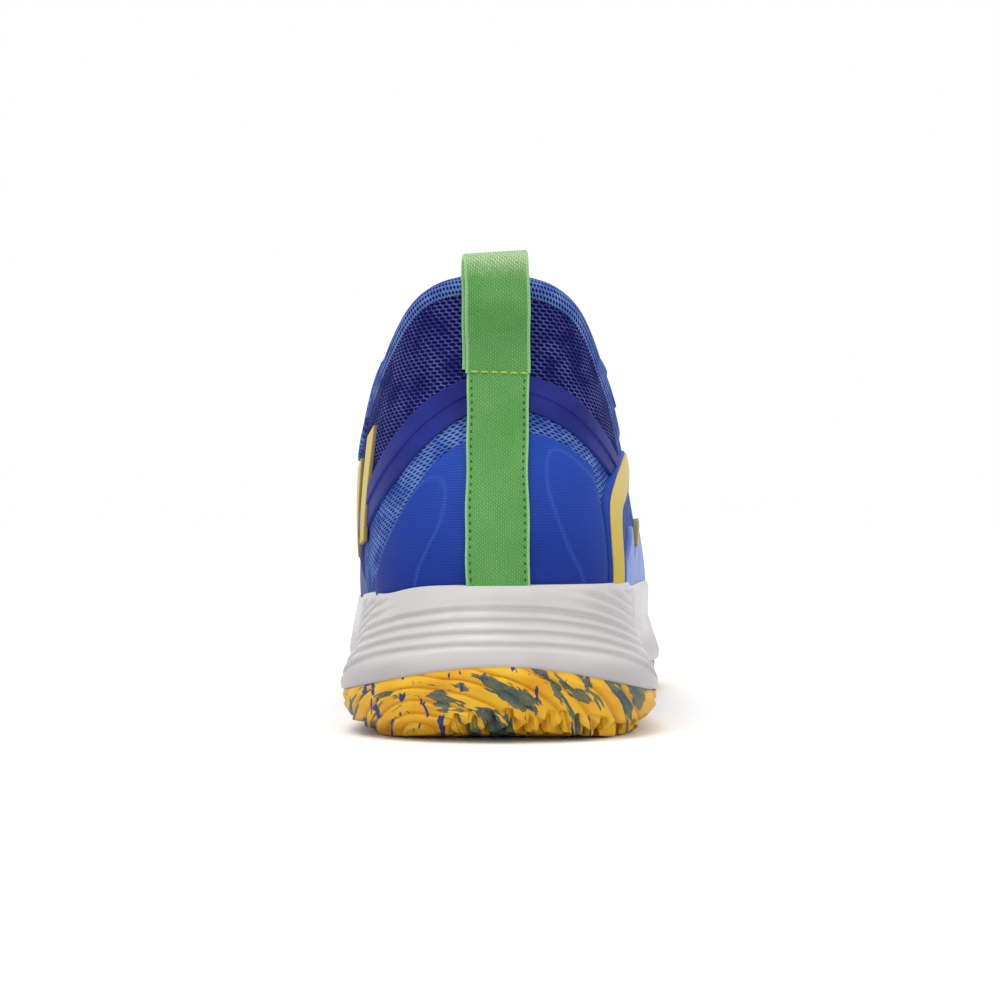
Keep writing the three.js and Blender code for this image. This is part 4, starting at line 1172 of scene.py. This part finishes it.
def shell_patch(name, start, end, low, high, step, corners=(), puff=None):
    """A panel of the mesh shell; puff(u, v) is how far its face stands out."""
    u, v = wall_grid(start, end, low, high, step, corners=corners)
    over = np.zeros_like(v) if puff is None else puff(u, v)
    if end > 0.5:
        uv = unrolled(upper(u, v), len(u) // 2)
    else:
        uv = cloth_uv(u, v)
    return slab(name, off(u, v, over), off(u, v, -SHELL), uv=uv)


def quarter_top(u):
    """Upper border of the quarters: the middle of the arc under the rear panel."""
    inside = (u > COLLAR_FROM - SEAM) & (u < COLLAR_TO + SEAM)
    return np.where(inside, arc_middle(u) - GAP / 75, 1.0)


def level(value):
    """A border of a panel that keeps to one height v."""
    return lambda u: value + 0 * u


def add_shell():
    side = COLLAR_TO + np.array([1, 2]) * SEAM - 1e-6
    outer = shell_patch(
        "quarter_outer_mesh", SEAM, VAMP_FROM - SEAM, level(0), quarter_top, (1.6, 1.6), side
    )
    dress(outer, "light_mesh", replaces=["quarter_outer"])
    side = COLLAR_FROM - np.array([1, 2]) * SEAM + 1e-6
    inner = shell_patch(
        "quarter_inner_mesh", -VAMP_FROM + SEAM, -SEAM, level(0), quarter_top, (1.6, 1.6), side
    )
    dress(inner, "light_mesh", replaces=["quarter_inner"])
    vamp = shell_patch("vamp_mesh", VAMP_FROM, 1 - VAMP_FROM, level(0), level(1), (2.2, 2.2))
    dress(vamp, "light_mesh", replaces=["vamp"])

    def puff(u, v):
        f = (v - arc_middle(u)) / (seam_line(u) - arc_middle(u))
        return 0.9 * np.sqrt(np.clip(np.sin(np.pi * np.clip(f, 0, 1)), 0, 1)) - 0.2

    panel = shell_patch(
        "rear_collar_mesh", COLLAR_FROM, COLLAR_TO, arc_middle, seam_line, (1.2, 1.2), puff=puff
    )
    dress(panel, "navy_mesh", replaces=["rear_collar_panel"])


def add_lining():
    u = np.linspace(0, 1, 241)[:-1, None]
    v = np.linspace(0.09, 0.985, 40)[None, :]
    u, v = np.broadcast_arrays(u, v)
    depth = lining_depth(u, v)
    outer, inner = off(u, v, -depth), off(u, v, -depth - LINING)
    piece = slab("lining_knit", outer, inner, wrap=True, uv=unrolled(inner))
    dress(piece, "lining_fabric", replaces=["lining"])


def add_rim():
    """The rolled collar edge, from its seam over the crest to the lining."""
    us = np.linspace(-0.255, 0.255, 300)
    base = off(us, seam_line(us), 0.25)
    top = upper(us, 1.0)
    out = upper_normal(us, 0.99)
    up = unit(upper(us, 1.0) - upper(us, 0.98))
    inner = -lining_depth(us, 1.0) - LINING - 0.5
    crest_at = top + up * crest(us)[:, None]
    inside = top + out * inner[:, None] - up * 1.6
    t_out = np.linspace(0, 1, 22)[None, :, None]
    t_in = np.linspace(0, 1, 14)[None, 1:, None]
    shoulder = mix(base, crest_at, 0.8) + out * 1.9
    outer_side = (1 - t_out) ** 2 * base[:, None] + 2 * t_out * (1 - t_out) * shoulder[:, None]
    outer_side = outer_side + t_out**2 * (crest_at + out * (inner * 0.22)[:, None])[:, None]
    start = outer_side[:, -1]
    bend = start + out * (inner * 0.85)[:, None]
    inner_side = (1 - t_in) ** 2 * start[:, None] + 2 * t_in * (1 - t_in) * bend[:, None]
    inner_side = inner_side + t_in**2 * inside[:, None]
    tuck = base - up * 0.6 - out * 0.9
    loop = np.concatenate([tuck[:, None], outer_side, inner_side], 1)
    across = lengths(loop, 1)
    run = lengths(crest_at[:, None], 0)
    uv = np.stack([run - run[len(us) // 2] + 0 * across, across], -1)
    piece = sections("collar_rim_roll", loop, uv=uv)
    dress(piece, "rim", replaces=["collar_rim"])


def inside_polygon(x, y, polygon):
    """Whether each point lies in a polygon."""
    inside = np.zeros(x.shape, bool)
    for (ax, ay), (bx, by) in zip(polygon, np.roll(polygon, -1, 0)):
        crosses = (ay > y) != (by > y)
        with np.errstate(divide="ignore", invalid="ignore"):
            at = ax + (y - ay) * (bx - ax) / (by - ay)
        inside ^= crosses & (x < at)
    return inside


LEAF_INNER_SIDE = [
    (-0.082, 0.19), (-0.074, 0.26), (-0.062, 0.36), (-0.05, 0.432), (-0.042, 0.448),
    (-0.035, 0.43), (-0.032, 0.384), (-0.034, 0.308), (-0.040, 0.24), (-0.046, 0.17), (-0.05, 0.1),
]
LEAF_OUTER_SIDE = [
    (0.074, 0.44), (0.062, 0.49), (0.05, 0.527), (0.043, 0.535), (0.036, 0.52),
    (0.032, 0.46), (0.032, 0.388), (0.036, 0.304), (0.041, 0.228), (0.047, 0.17), (0.052, 0.1),
]


def leaf_relief(u, v):
    """Embossed leaf outlines of the heel film: relief in mm, and 0 to 1 on their lines."""
    points = upper(u, v)
    relief = np.zeros_like(u)
    line = np.zeros_like(u)
    for shape in (LEAF_INNER_SIDE, LEAF_OUTER_SIDE):
        curve = spline(shape, np.linspace(0, 1, 160))
        tree = kdtree.KDTree(len(curve))
        for i, p in enumerate(upper(curve[:, 0], curve[:, 1])):
            tree.insert(p, i)
        tree.balance()
        away = np.array([tree.find(p)[2] for p in points.reshape(-1, 3)]).reshape(u.shape)
        closing = np.concatenate([curve, [[curve[-1, 0] * 1.7, 0.02], [curve[0, 0], 0.02]]])
        inside = inside_polygon(u, v, closing)
        relief += 0.3 * np.where(inside, smooth(0.0, 0.7, away), 0)
        line = np.maximum(line, 1 - smooth(0.1, 0.55, away))
    return relief, line


def add_counter_film():
    def high(u):
        return np.maximum(counter_top(u), lip_level(u) + 0.02)

    u, v = wall_grid(-0.086, 0.0705, tucked, high, (0.6, 0.6), edge=0.8)
    relief, line = leaf_relief(u, v)
    points = upper(u, v)
    border = to_border(points)
    over = 0.15 + (OVERLAY + 0.2) * rounding(border, 0.5) + relief * smooth(0.5, 2, border)
    marks = {"border": border, "leaf": line}
    piece = slab(
        "heel_counter_film", off(u, v, over), off(u, v, 0.02),
        uv=unrolled(points), marks=marks,
    )
    dress(piece, "royal_film", replaces=["heel_counter_overlay"])


ARC_BANDS_FROM = -0.19


def add_arc_bands():
    """Two films round the heel: the upper one laps over the edge of the lower one."""
    u, v = wall_grid(ARC_BANDS_FROM, 0.117, arc_middle, arc_high, (1.0, 0.4), edge=0.4)
    outer = film("arc_band_outer_film", u, v, thick=1.05, radius=0.3)
    dress(outer, "dark_film", replaces=["arc_band_outer"])
    lap = 0.006
    u, v = wall_grid(
        ARC_BANDS_FROM, 0.106, arc_low, lambda u: arc_middle(u) + lap, (1.0, 0.4), edge=0.4
    )
    inner = film("arc_band_inner_film", u, v, thick=0.6, radius=0.3)
    dress(inner, "dark_film", replaces=["arc_band_inner"])


def ribbon_grid(left, right, along_step, across_step, edge):
    """u and v of a strip between two curves."""
    probe = np.linspace(0, 1, 60)
    middle = (spline(left, probe) + spline(right, probe)) / 2
    length = lengths(upper(middle[:, 0], middle[:, 1]), 0)[-1]
    a, b = spline(left, 0.5), spline(right, 0.5)
    width = np.linalg.norm(upper(*a) - upper(*b))
    t = stops(length, along_step, edge)
    f = stops(width, across_step, edge)
    p, q = spline(left, t), spline(right, t)
    grid = p[:, None] + (q - p)[:, None] * f[None, :, None]
    return grid[..., 0], grid[..., 1]


def add_stripes():
    left = [*STRIPE_LEFT, (STRIPE_LEFT[-1][0], 0.09)]
    right = [*STRIPE_RIGHT, (STRIPE_RIGHT[-1][0], 0.09)]
    u, v = ribbon_grid(left, right, 1.0, 0.4, 0.4)
    u, v = u - 0.0022, np.maximum(v, tucked(u))
    piece = film("stripe_outer_film", u, v, thick=1.6, radius=0.35)
    dress(piece, "yellow_film", replaces=["stripe_outer"])
    wide_left = [(a - 0.0042, b + 0.004) for a, b in left]
    wide_right = [(a + 0.0025, b - 0.004) for a, b in right]
    u, v = ribbon_grid(wide_left, wide_right, 1.2, 0.5, 0.5)
    border = film("stripe_border_film", u, np.maximum(v, tucked(u)), thick=1.25, radius=0.5)
    dress(border, "royal_film")
    for name, foot, low, high in (
        ("bar_inner_rear", -0.112, 0.3, 0.76),
        ("bar_inner_front", -0.136, 0.28, 0.72),
    ):
        left = [(foot - 0.014, high), (foot - 0.009, (low + high) / 2), (foot - 0.004, low)]
        right = [(a + 0.012, b) for a, b in left]
        u, v = ribbon_grid(left, right, 0.9, 0.4, 0.4)
        piece = film(name + "_film", u, v, base=FILM - 0.3, thick=0.5, radius=0.3)
        dress(piece, "yellow_film", replaces=[name])


def add_midfoot_film():
    """The smooth pale panel beside the stripe, with a thin yellow line along its front."""

    def high(u):
        return 0.2 + 0.24 * smooth(0.085, 0.15, u) - 0.3 * smooth(0.18, 0.25, u)

    u, v = wall_grid(0.098, 0.252, tucked, high, (1.4, 1.0), edge=0.5)
    dress(film("midfoot_film", u, v, thick=0.8), "pale_film")
    us = np.linspace(0.272, 0.39, 12)
    left = [(a, float(forefoot_top(a, "outer")) + 0.004) for a in us]
    right = [(a, b - 0.016) for a, b in left]
    u, v = ribbon_grid(left, right, 1.0, 0.4, 0.3)
    dress(film("forefoot_line_film", u, v, thick=1.3, radius=0.3), "yellow_film")


FOREFOOT_FILMS = {"outer": (0.255, 0.402, 0.17), "inner": (0.598, 0.745, 0.15)}


def forefoot_top(u, side):
    """The upper edge of a forefoot film."""
    start, end, height = FOREFOOT_FILMS[side]
    part = np.clip((u - start) / (end - start), 0, 1)
    return lip_level(u) + 0.05 + height * np.sin(part * np.pi) ** 0.7


def add_collar_wing():
    """The thin padded patch of mesh that widens the collar edge over the inner ankle."""

    def low(u):
        return 0.985 - 0.2 * np.sin(np.clip((u + 0.275) / 0.125, 0, 1) * np.pi) ** 0.9

    u, v = wall_grid(-0.272, -0.152, low, level(1.0), (1.2, 0.8), edge=0.8)
    dress(film("collar_wing_mesh", u, v, base=0.15, thick=0.9, radius=0.9), "light_mesh")


def add_front_films():
    def cap_high(u):
        return lip_level(u) + 0.05 + 0.22 * np.sin(np.clip((u - 0.41) / 0.18, 0, 1) * np.pi)

    u, v = wall_grid(0.41, 0.59, tucked, cap_high, (1.6, 1.4), edge=0.8)
    dress(film("toe_cap_film", u, v), "royal_film", replaces=["toe_cap_overlay"])
    for side, (start, end, _) in FOREFOOT_FILMS.items():
        u, v = wall_grid(
            start, end, tucked, lambda u: forefoot_top(u, side), (1.6, 1.4), edge=0.8
        )
        piece = film(f"forefoot_film_{side}", u, v)
        colour = "pale_film" if side == "outer" else "royal_film"
        dress(piece, colour, replaces=[f"forefoot_overlay_{side}"])


def punch(piece, eyelets, radius=2.3):
    """Cuts the eyelet holes through a piece."""
    for at in eyelets:
        n = Vector(upper_normal(at, EYELET_LEVEL))
        bpy.ops.mesh.primitive_cylinder_add(vertices=24, radius=radius / 1000, depth=0.02)
        tool = bpy.context.active_object
        tool.rotation_mode = "QUATERNION"
        tool.rotation_quaternion = n.to_track_quat("Z", "Y")
        tool.location = Vector(upper(at, EYELET_LEVEL)) / 1000
        cutter = piece.modifiers.new("punch", "BOOLEAN")
        cutter.operation = "DIFFERENCE"
        cutter.solver = "EXACT"
        cutter.object = tool
        bpy.context.view_layer.objects.active = piece
        bpy.ops.object.modifier_apply(modifier=cutter.name)
        bpy.data.objects.remove(tool)


EYESTAY = (0.272, 0.452)  # u range on the outer side


def add_eyestays():
    """The two films beside the throat, punched for the lace."""
    back, front = EYESTAY
    for side, start, end in (("outer", back, front), ("inner", 1 - front, 1 - back)):
        u, v = wall_grid(start, end, level(0.79), level(0.985), (1.4, 1.1), edge=0.8)
        piece = film(f"eyestay_{side}_film", u, v, thick=1.1)
        punch(piece, EYELETS if side == "outer" else 1 - EYELETS)
        dress(piece, "royal_film", replaces=[f"eyestay_{side}"])


# ---------------------------------------------------------------- webbing
STRAP_BASE = FILM + 0.35
UNDER_WEBBING = 0.915  # x on the wall for each mm of x on the webbing above it


def across_heel(x, v):
    """The u at which the wall is at x on the back of the heel."""
    x, v = np.broadcast_arrays(np.asarray(x, float), np.asarray(v, float))
    low, high = np.full(x.shape, -0.08), np.full(x.shape, 0.08)
    for _ in range(HALVINGS):
        middle = (low + high) / 2
        below = upper(middle, v)[..., 0] + MIDDLE_X < x
        low, high = np.where(below, middle, low), np.where(below, high, middle)
    return low


def strap_edge(z):
    """The webbing's slightly wavy edges, left and right, at height z."""
    left = -7.75 - 0.2 * smooth(66, 50, z) + 0.3 * smooth(44, 36, z) - 0.2 * smooth(95, 112, z)
    right = 7.45 - 0.35 * np.exp(-(((z - 64) / 10) ** 2)) - 0.35 * smooth(98, 112, z)
    return left + 0.08 * np.sin(z / 2.3), right + 0.08 * np.sin(z / 2.7 + 1)


def webbing_profile(f):
    """Thickness across the webbing: thin rounded selvedges and a slightly crowned middle."""
    edge = np.minimum(f, 1 - f) * WEBBING_WIDTH
    seam = np.exp(-(((edge - 1.4) / 0.4) ** 2))
    return WEBBING * (0.35 + 0.65 * rounding(edge, 0.6)) - 0.12 * seam


def strap_uv(x, z):
    """The u and v of points on the back of the heel at x and height z."""
    x, z = np.broadcast_arrays(np.asarray(x, float), np.asarray(z, float))
    u = x * 0.0035
    for _ in range(5):
        v = level_of(u, z)
        u = across_heel(x, v)
    return u, v


STITCH_HEIGHT = 85.7  # z of the row across the webbing
STRAP_FOOT = 34.5  # z of the webbing's lower end, under the midsole's lip
SIDE_STITCH = 1.0
SIDE_STITCH_PITCH = 1.75
CROSS_STITCH = 2.05
CROSS_STITCH_PITCH = 2.4


def add_strap():
    """The webbing sewn up the back of the heel."""
    height = np.concatenate([np.linspace(STRAP_FOOT, STITCH_HEIGHT - 0.5, 120), [STITCH_HEIGHT - 0.1]])
    left, right = strap_edge(height)
    f = stops(WEBBING_WIDTH, 0.5, 0.6)
    x = (left[:, None] + (right - left)[:, None] * f[None, :]) * UNDER_WEBBING
    u, v = strap_uv(x, height[:, None])
    ripple = 0.1 * np.sin(height / 3.1)[:, None] * (1 - 4 * (f - 0.5) ** 2)[None, :]
    over = STRAP_BASE + webbing_profile(f)[None, :] + ripple
    outer = off(u, v, over)
    inner = off(u, v, STRAP_BASE)
    run = lengths(outer, 0)
    uv = np.stack([(f - 0.5)[None, :] * WEBBING_WIDTH + 0 * run, run], -1)
    dress(slab("heel_strap_webbing", outer, inner, uv=uv), "green_webbing", replaces=["heel_strap"])
    add_stitches()


def stitch(start, end, lift, width):
    """One thread stitch: a thin bent capsule standing lift mm off its end points."""
    start, end = np.asarray(start), np.asarray(end)
    t = np.linspace(0, 1, 7)
    bow = np.sin(np.pi * t) ** 0.6
    centre = start + (end - start) * t[:, None] + lift * bow[:, None]
    tangent = unit(end - start)
    side = unit(np.cross(tangent, unit(lift)))
    up = unit(np.cross(side, tangent))
    angle = np.linspace(0, 2 * np.pi, 9)[:-1]
    size = width * (0.45 + 0.55 * np.sin(np.pi * t) ** 0.4)
    return centre[:, None] + size[:, None, None] * (
        np.cos(angle)[None, :, None] * side + np.sin(angle)[None, :, None] * up
    )


def stitches(name, pairs, width, material):
    """Many stitches in one piece: pairs of (start, end, lift)."""
    points, faces, uv = [], [], []
    for start, end, lift in pairs:
        tube = stitch(start, end, np.asarray(lift), width)
        rows, columns = tube.shape[:2]
        base = len(points)
        for i in range(rows - 1):
            for j in range(columns):
                a = base + i * columns + j
                b = base + i * columns + (j + 1) % columns
                faces.append([a, a + columns, b + columns, b])
        faces.append([base + j for j in range(columns)])
        faces.append([base + (rows - 1) * columns + j for j in reversed(range(columns))])
        points.extend(tube.reshape(-1, 3))
        uv.extend([(i * 0.3, j * 0.15) for i in range(rows) for j in range(columns)])
    piece = make_object(name, points, faces, uv)
    weld(piece, 1e-7)
    return dress(piece, material)


def strap_point(x, z, lift):
    """A point lift mm above the webbing's face."""
    u, v = strap_uv(x * UNDER_WEBBING, z)
    return off(u, v, STRAP_BASE + WEBBING + lift)


def add_stitches():
    """A row along each edge of the webbing, and one across it where the loop is sewn down."""
    pairs = []
    for z in np.arange(37.6, STITCH_HEIGHT - 1.6, SIDE_STITCH_PITCH):
        lift = upper_normal(0.0, level_of(0.0, z)) * 0.2
        for edge, inward in zip(strap_edge(z), (1.2, -1.2)):
            x = edge + inward
            foot, head = strap_point(x, z, -0.3), strap_point(x, z + SIDE_STITCH, -0.3)
            pairs.append((foot, head, lift))
    stitches("strap_side_stitches", pairs, 0.21, "green_thread")
    pairs = []
    n = upper_normal(0.0, STITCH_LEVEL)
    for x in np.arange(-6.9, 5.6, CROSS_STITCH_PITCH):
        z = STITCH_HEIGHT - 0.03 * x
        end = strap_point(x + CROSS_STITCH, z - 0.06, 0.0)
        pairs.append((strap_point(x, z, 0.0), end, n * 0.35))
    stitches("strap_cross_stitches", pairs, 0.3, "bright_thread")


def add_pull_loop():
    """The folded webbing: its far layer stands a little to the inner side."""
    root = off(0.0, STITCH_LEVEL, FILM + 0.5) + np.array([0, 0, 0.6])
    fold_y, fold_z, radius = root[1] - 4, LOOP_TOP - 3.5, 3.5 - WEBBING * 0.5
    t = np.linspace(0, 1, 40)
    lower = off(0.0, level_of(0.0, STITCH_HEIGHT), STRAP_BASE + WEBBING / 2)

    def layer(y, z, top_y):
        """One layer of the loop, from its root up to the fold."""
        return np.stack([mix(y, top_y, smooth(0, 0.75, t)), mix(z, fold_z, t)], -1)

    near = layer(lower[1], lower[2], fold_y - radius)
    far = layer(root[1] + 0.5, root[2] + 0.2, fold_y + radius)
    angle = np.linspace(np.pi, 0, 26)[1:-1]
    crown = np.stack([fold_y + radius * np.cos(angle), fold_z + radius * np.sin(angle)], -1)
    path = np.concatenate([near, crown, far[::-1]])
    tangent = unit(np.gradient(path, axis=0))
    normal = np.stack([-tangent[:, 1], tangent[:, 0]], -1)
    run = lengths(path[:, None, :], 0)[:, 0]
    skew = 0.8 * smooth(run[-1] * 0.42, run[-1] * 0.62, run)
    tilt = 1.0 * smooth(run[-1] * 0.3, run[-1] * 0.55, run)
    f = stops(WEBBING_WIDTH, 0.4, 0.7)
    left, right = strap_edge(path[:, 1])
    x = left[:, None] + (right - left)[:, None] * f[None, :] - skew[:, None] - MIDDLE_X
    thick = webbing_profile(f)[None, :] * np.ones_like(x)
    middle = path[:, None, :] + 0 * x[..., None]
    arch = np.sin(np.clip(run / run[-1], 0, 1) * np.pi)
    middle[..., 1] += (f[None, :] - 0.5) * tilt[:, None] * arch[:, None]
    a = middle + normal[:, None, :] * (thick / 2)[..., None]
    b = middle - normal[:, None, :] * (thick / 2)[..., None]
    outer = np.stack([x, a[..., 0], a[..., 1]], -1)
    inner = np.stack([x, b[..., 0], b[..., 1]], -1)
    uv = np.stack(np.broadcast_arrays((f - 0.5)[None, :] * WEBBING_WIDTH, run[:, None]), -1)
    piece = slab("pull_loop_webbing", outer, inner, uv=uv)
    dress(piece, "green_webbing", body="pull_loop", replaces=["pull_loop"])


# ---------------------------------------------------------------- tongue, lace and sockliner
TONGUE_LINE = [(214, 59.5), (198, 66), (175, 76), (148, 86.5), (122, 94), (107, 103), (103.5, 109)]
TONGUE_SHAPE = [(11, 22), (16.5, 32), (21.5, 40), (25, 46), (25.5, 48), (23.5, 42), (18, 32)]


def tongue_surface(a, b, depth):
    """A point of the tongue: a across from -1 to 1, b from the throat to the top."""
    a, b, depth = np.broadcast_arrays(np.asarray(a, float), b, depth)
    centre = spline(TONGUE_LINE, b)
    ahead = spline(TONGUE_LINE, np.minimum(b + 0.005, 1))
    behind = spline(TONGUE_LINE, np.maximum(b - 0.005, 0))
    tangent = unit(ahead - behind)
    out = np.stack([-tangent[..., 1], tangent[..., 0]], -1)
    out = out * np.where(tangent[..., 0] < 0, -1, 1)[..., None]
    shape = spline(TONGUE_SHAPE, b)
    most = np.radians(shape[..., 1])
    radius = shape[..., 0] / np.sin(most)
    r = radius - depth
    down = radius - r * np.cos(a * most)
    at = centre - out * down[..., None]
    return place(r * np.sin(a * most) - 0.5, at[..., 0], at[..., 1])


def tongue_slab(name, over, under, start=0.0, end=1.0, side=1.0, count=(60, 36)):
    """A layer of the tongue between two depths."""
    b = np.linspace(start, end, count[0])[:, None]
    a = np.linspace(-side, side, count[1])[None, :]
    outer = tongue_surface(a, b, over)
    return slab(name, outer, tongue_surface(a, b, under), uv=unrolled(outer, 0))


CLOTH_FRAMES = 20
PILLOW_VOXEL = 3.0


def pillow(piece, cap, pressure=4.0):
    """Swells a soft piece with a pressure cloth simulation, moving no point further than cap."""
    bpy.context.view_layer.objects.active = piece
    remesh = piece.modifiers.new("remesh", "REMESH")
    remesh.mode = "VOXEL"
    remesh.voxel_size = PILLOW_VOXEL / 1000
    bpy.ops.object.modifier_apply(modifier=remesh.name)
    start = np.empty(len(piece.data.vertices) * 3)
    piece.data.vertices.foreach_get("co", start)
    cloth = piece.modifiers.new("cloth", "CLOTH")
    cloth.settings.use_pressure = True
    cloth.settings.uniform_pressure_force = pressure
    cloth.settings.effector_weights.gravity = 0
    cloth.settings.tension_stiffness = 18
    cloth.point_cache.frame_start, cloth.point_cache.frame_end = 1, CLOTH_FRAMES
    for step in range(1, CLOTH_FRAMES + 1):
        bpy.context.scene.frame_set(step)
    shown = piece.evaluated_get(bpy.context.evaluated_depsgraph_get()).to_mesh()
    end = np.empty(len(shown.vertices) * 3)
    shown.vertices.foreach_get("co", end)
    piece.modifiers.remove(cloth)
    bpy.context.scene.frame_set(1)
    start, end = start.reshape(-1, 3), end.reshape(-1, 3)
    move = end - start
    far = np.linalg.norm(move, axis=1, keepdims=True)
    move *= np.minimum(1, cap / 1000 / np.maximum(far, 1e-9))
    piece.data.vertices.foreach_set("co", (start + move).ravel())
    divide = piece.modifiers.new("divide", "SUBSURF")
    divide.levels = divide.render_levels = 1
    bpy.ops.object.modifier_apply(modifier=divide.name)
    piece.data.polygons.foreach_set("use_smooth", [True] * len(piece.data.polygons))


def add_tongue():
    """The tongue's mesh, its padding and a plain label."""
    dress(tongue_slab("tongue_mesh", 0.0, 1.0), "navy_mesh", "tongue", replaces=["tongue_shell"])
    pad = tongue_slab("tongue_padding", 1.7, 5.6, 0.04, 0.97, 0.92)
    pillow(pad, 0.7)
    inside = ["tongue_foam", "tongue_lining"]
    dress(pad, "lining_fabric", "tongue", replaces=inside)
    label = tongue_slab("tongue_label_patch", -1.0, -0.3, 0.86, 0.965, 0.36, (12, 20))
    border = label.data.attributes.new("border", "FLOAT", "POINT")
    border.data.foreach_set("value", [1.0] * len(label.data.vertices))
    dress(label, "yellow_film", "tongue", replaces=["tongue_label"])


def add_collar_pad():
    """The foam between lining and shell round the ankle."""
    us = np.linspace(-0.25, 0.25, 150)[:, None]
    vs = np.linspace(0.47, 0.97, 26)[None, :]
    u, v = np.broadcast_arrays(us, vs)
    outer = off(u, v, -SHELL - 0.6)
    inner = off(u, v, -lining_depth(u, v) + 0.6)
    pad = slab("collar_padding", outer, inner)
    pillow(pad, 0.5)
    dress(pad, "grey_foam", replaces=["collar_foam"])


def lace_route():
    """The lace's centre line and the surface normals along it, from end to end."""
    above, below = FILM + LACE_TURN, LINING_DEPTH + LINING + LACE_TURN
    spots = []

    def add(u, v, height):
        spots.append((off(u, v, height), upper_normal(u, v), height))

    add(1 - EYELETS[0] + 0.01, EYELET_LEVEL - 0.13, -below)
    for row, eyelet in enumerate(EYELETS):
        start, end = (1 - eyelet, eyelet) if row % 2 == 0 else (eyelet, 1 - eyelet)
        turns = [(EYELET_LEVEL, -below), (EYELET_LEVEL, above - 0.9), (0.992, above - 1.2)]
        for v, height in turns:
            add(start, v, height)
        for v, height in reversed(turns):
            add(end, v, height)
    add(1 - EYELETS[5] - 0.01, EYELET_LEVEL - 0.13, -below)
    return spots


def rounded_path(corners, radius, steps):
    """A path through corners, each turned with a curve of about the radius."""
    path = [corners[0]]
    for before, corner, after in zip(corners, corners[1:], corners[2:]):
        ends = []
        for other in (before, after):
            d = other - corner
            ends.append(corner + d * min(radius / np.linalg.norm(d), 0.48))
        for t in np.linspace(0, 1, steps):
            path.append((1 - t) ** 2 * ends[0] + 2 * t * (1 - t) * corner + t * t * ends[1])
    return np.array([*path, corners[-1]])


def add_lace():
    """The braided lace, a little flatter where it turns over an eyelet."""
    spots = lace_route()
    joined = rounded_path([np.concatenate([p, n, [h]]) for p, n, h in spots], LACE_TURN, 7)
    run = lengths(joined[:, None, :3], 0)[:, 0]
    fine = np.linspace(0, run[-1], int(run[-1] / 0.8))
    q = np.stack([np.interp(fine, run, joined[:, d]) for d in range(7)], -1)
    centre, height = q[:, :3], q[:, 6]
    tangent = unit(np.gradient(centre, axis=0))
    ahead = np.array([0.0, 1.0, 0.0])
    side = unit(ahead - tangent * (tangent @ ahead)[:, None])
    up = np.cross(side, tangent)
    wide = mix(1.1, 3.1, smooth(2.2, 3.0, height))
    wide = np.convolve(np.pad(wide, 3, mode="edge"), np.ones(7) / 7, mode="valid")
    thick = mix(0.95, 0.6, smooth(1.2, 2.8, wide))
    angle = np.linspace(0, 2 * np.pi, 17)[:-1]
    ca, sa = np.cos(angle), np.sin(angle)
    flat = np.sign(sa) * np.abs(sa) ** 0.7
    loop = centre[:, None] + side[:, None] * (wide[:, None] * ca)[..., None]
    loop = loop + up[:, None] * (thick[:, None] * flat)[..., None]
    around = wide[:, None] * (angle / np.pi)[None, :]
    uv = np.stack([fine[:, None] + 0 * around, around], -1)
    dress(sections("lace_braid", loop, uv=uv), "lace_fabric", replaces=["lace"])


def add_sockliner():
    """The shaped footbed and its fabric cover."""
    u = np.linspace(0, 1, 241)[:-1]
    q = station_at(u)
    base = (q[:, 2] + station_at(1 - u)[:, 2]) / 2 + BOARD + 0.6
    rise = 3 * (1 - smooth(110, 190, q[:, 1]))
    x, s = spine(u)

    def ring_of(profile, name):
        """A solid from (inset, height) corners; an inset of None is on the spine."""
        rows = []
        for inset, z in profile:
            rows.append(place(x, s, z) if inset is None else inside_ring(station_at, u, inset, z))
        grid = path_through(np.stack(rows, 1), np.linspace(0, 1, 48))
        return closed_ring(name, softened(grid, 3))

    rim = SOCKLINER_INSET
    top = base + FOOTBED
    foam_profile = [
        (None, top), (rim + 7, top), (rim, top + rise),
        (rim, base + 1), (rim + 2, base), (None, base),
    ]
    foam = ring_of(foam_profile, "sockliner_footbed")
    dress(foam, "grey_foam", "sockliner", replaces=["sockliner_foam"])
    under = top + 0.5
    over = under + 0.7
    cover_profile = [
        (None, over), (rim + 7, over), (rim + 0.4, over + rise),
        (rim + 0.4, under + rise), (rim + 7, under), (None, under),
    ]
    cover = ring_of(cover_profile, "sockliner_fabric")
    dress(cover, "lining_fabric", "sockliner", replaces=["sockliner_cover"])


def dress_kept_nodes():
    """Materials for the solids of the CAD that are shown as they are."""
    for node, material in (
        ("torsion_plate", "blue_plastic"),
        ("heel_cushion_insert", "green_gel"),
        ("forefoot_cushion_insert", "green_gel"),
        ("lasting_board", "grey_board"),
        ("heel_counter", "blue_plastic"),
        ("toe_puff", "blue_plastic"),
    ):
        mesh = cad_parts[node].data
        mesh.materials.clear()
        mesh.materials.append(MATERIALS[material])


add_camera()
add_lights()
add_floor()
add_midsole()
add_heel_outsole()
add_forefoot_outsole()
add_shell()
add_lining()
add_collar_pad()
add_rim()
add_counter_film()
add_arc_bands()
add_stripes()
add_midfoot_film()
add_collar_wing()
add_front_films()
add_eyestays()
add_strap()
add_pull_loop()
add_tongue()
add_lace()
add_sockliner()
dress_kept_nodes()
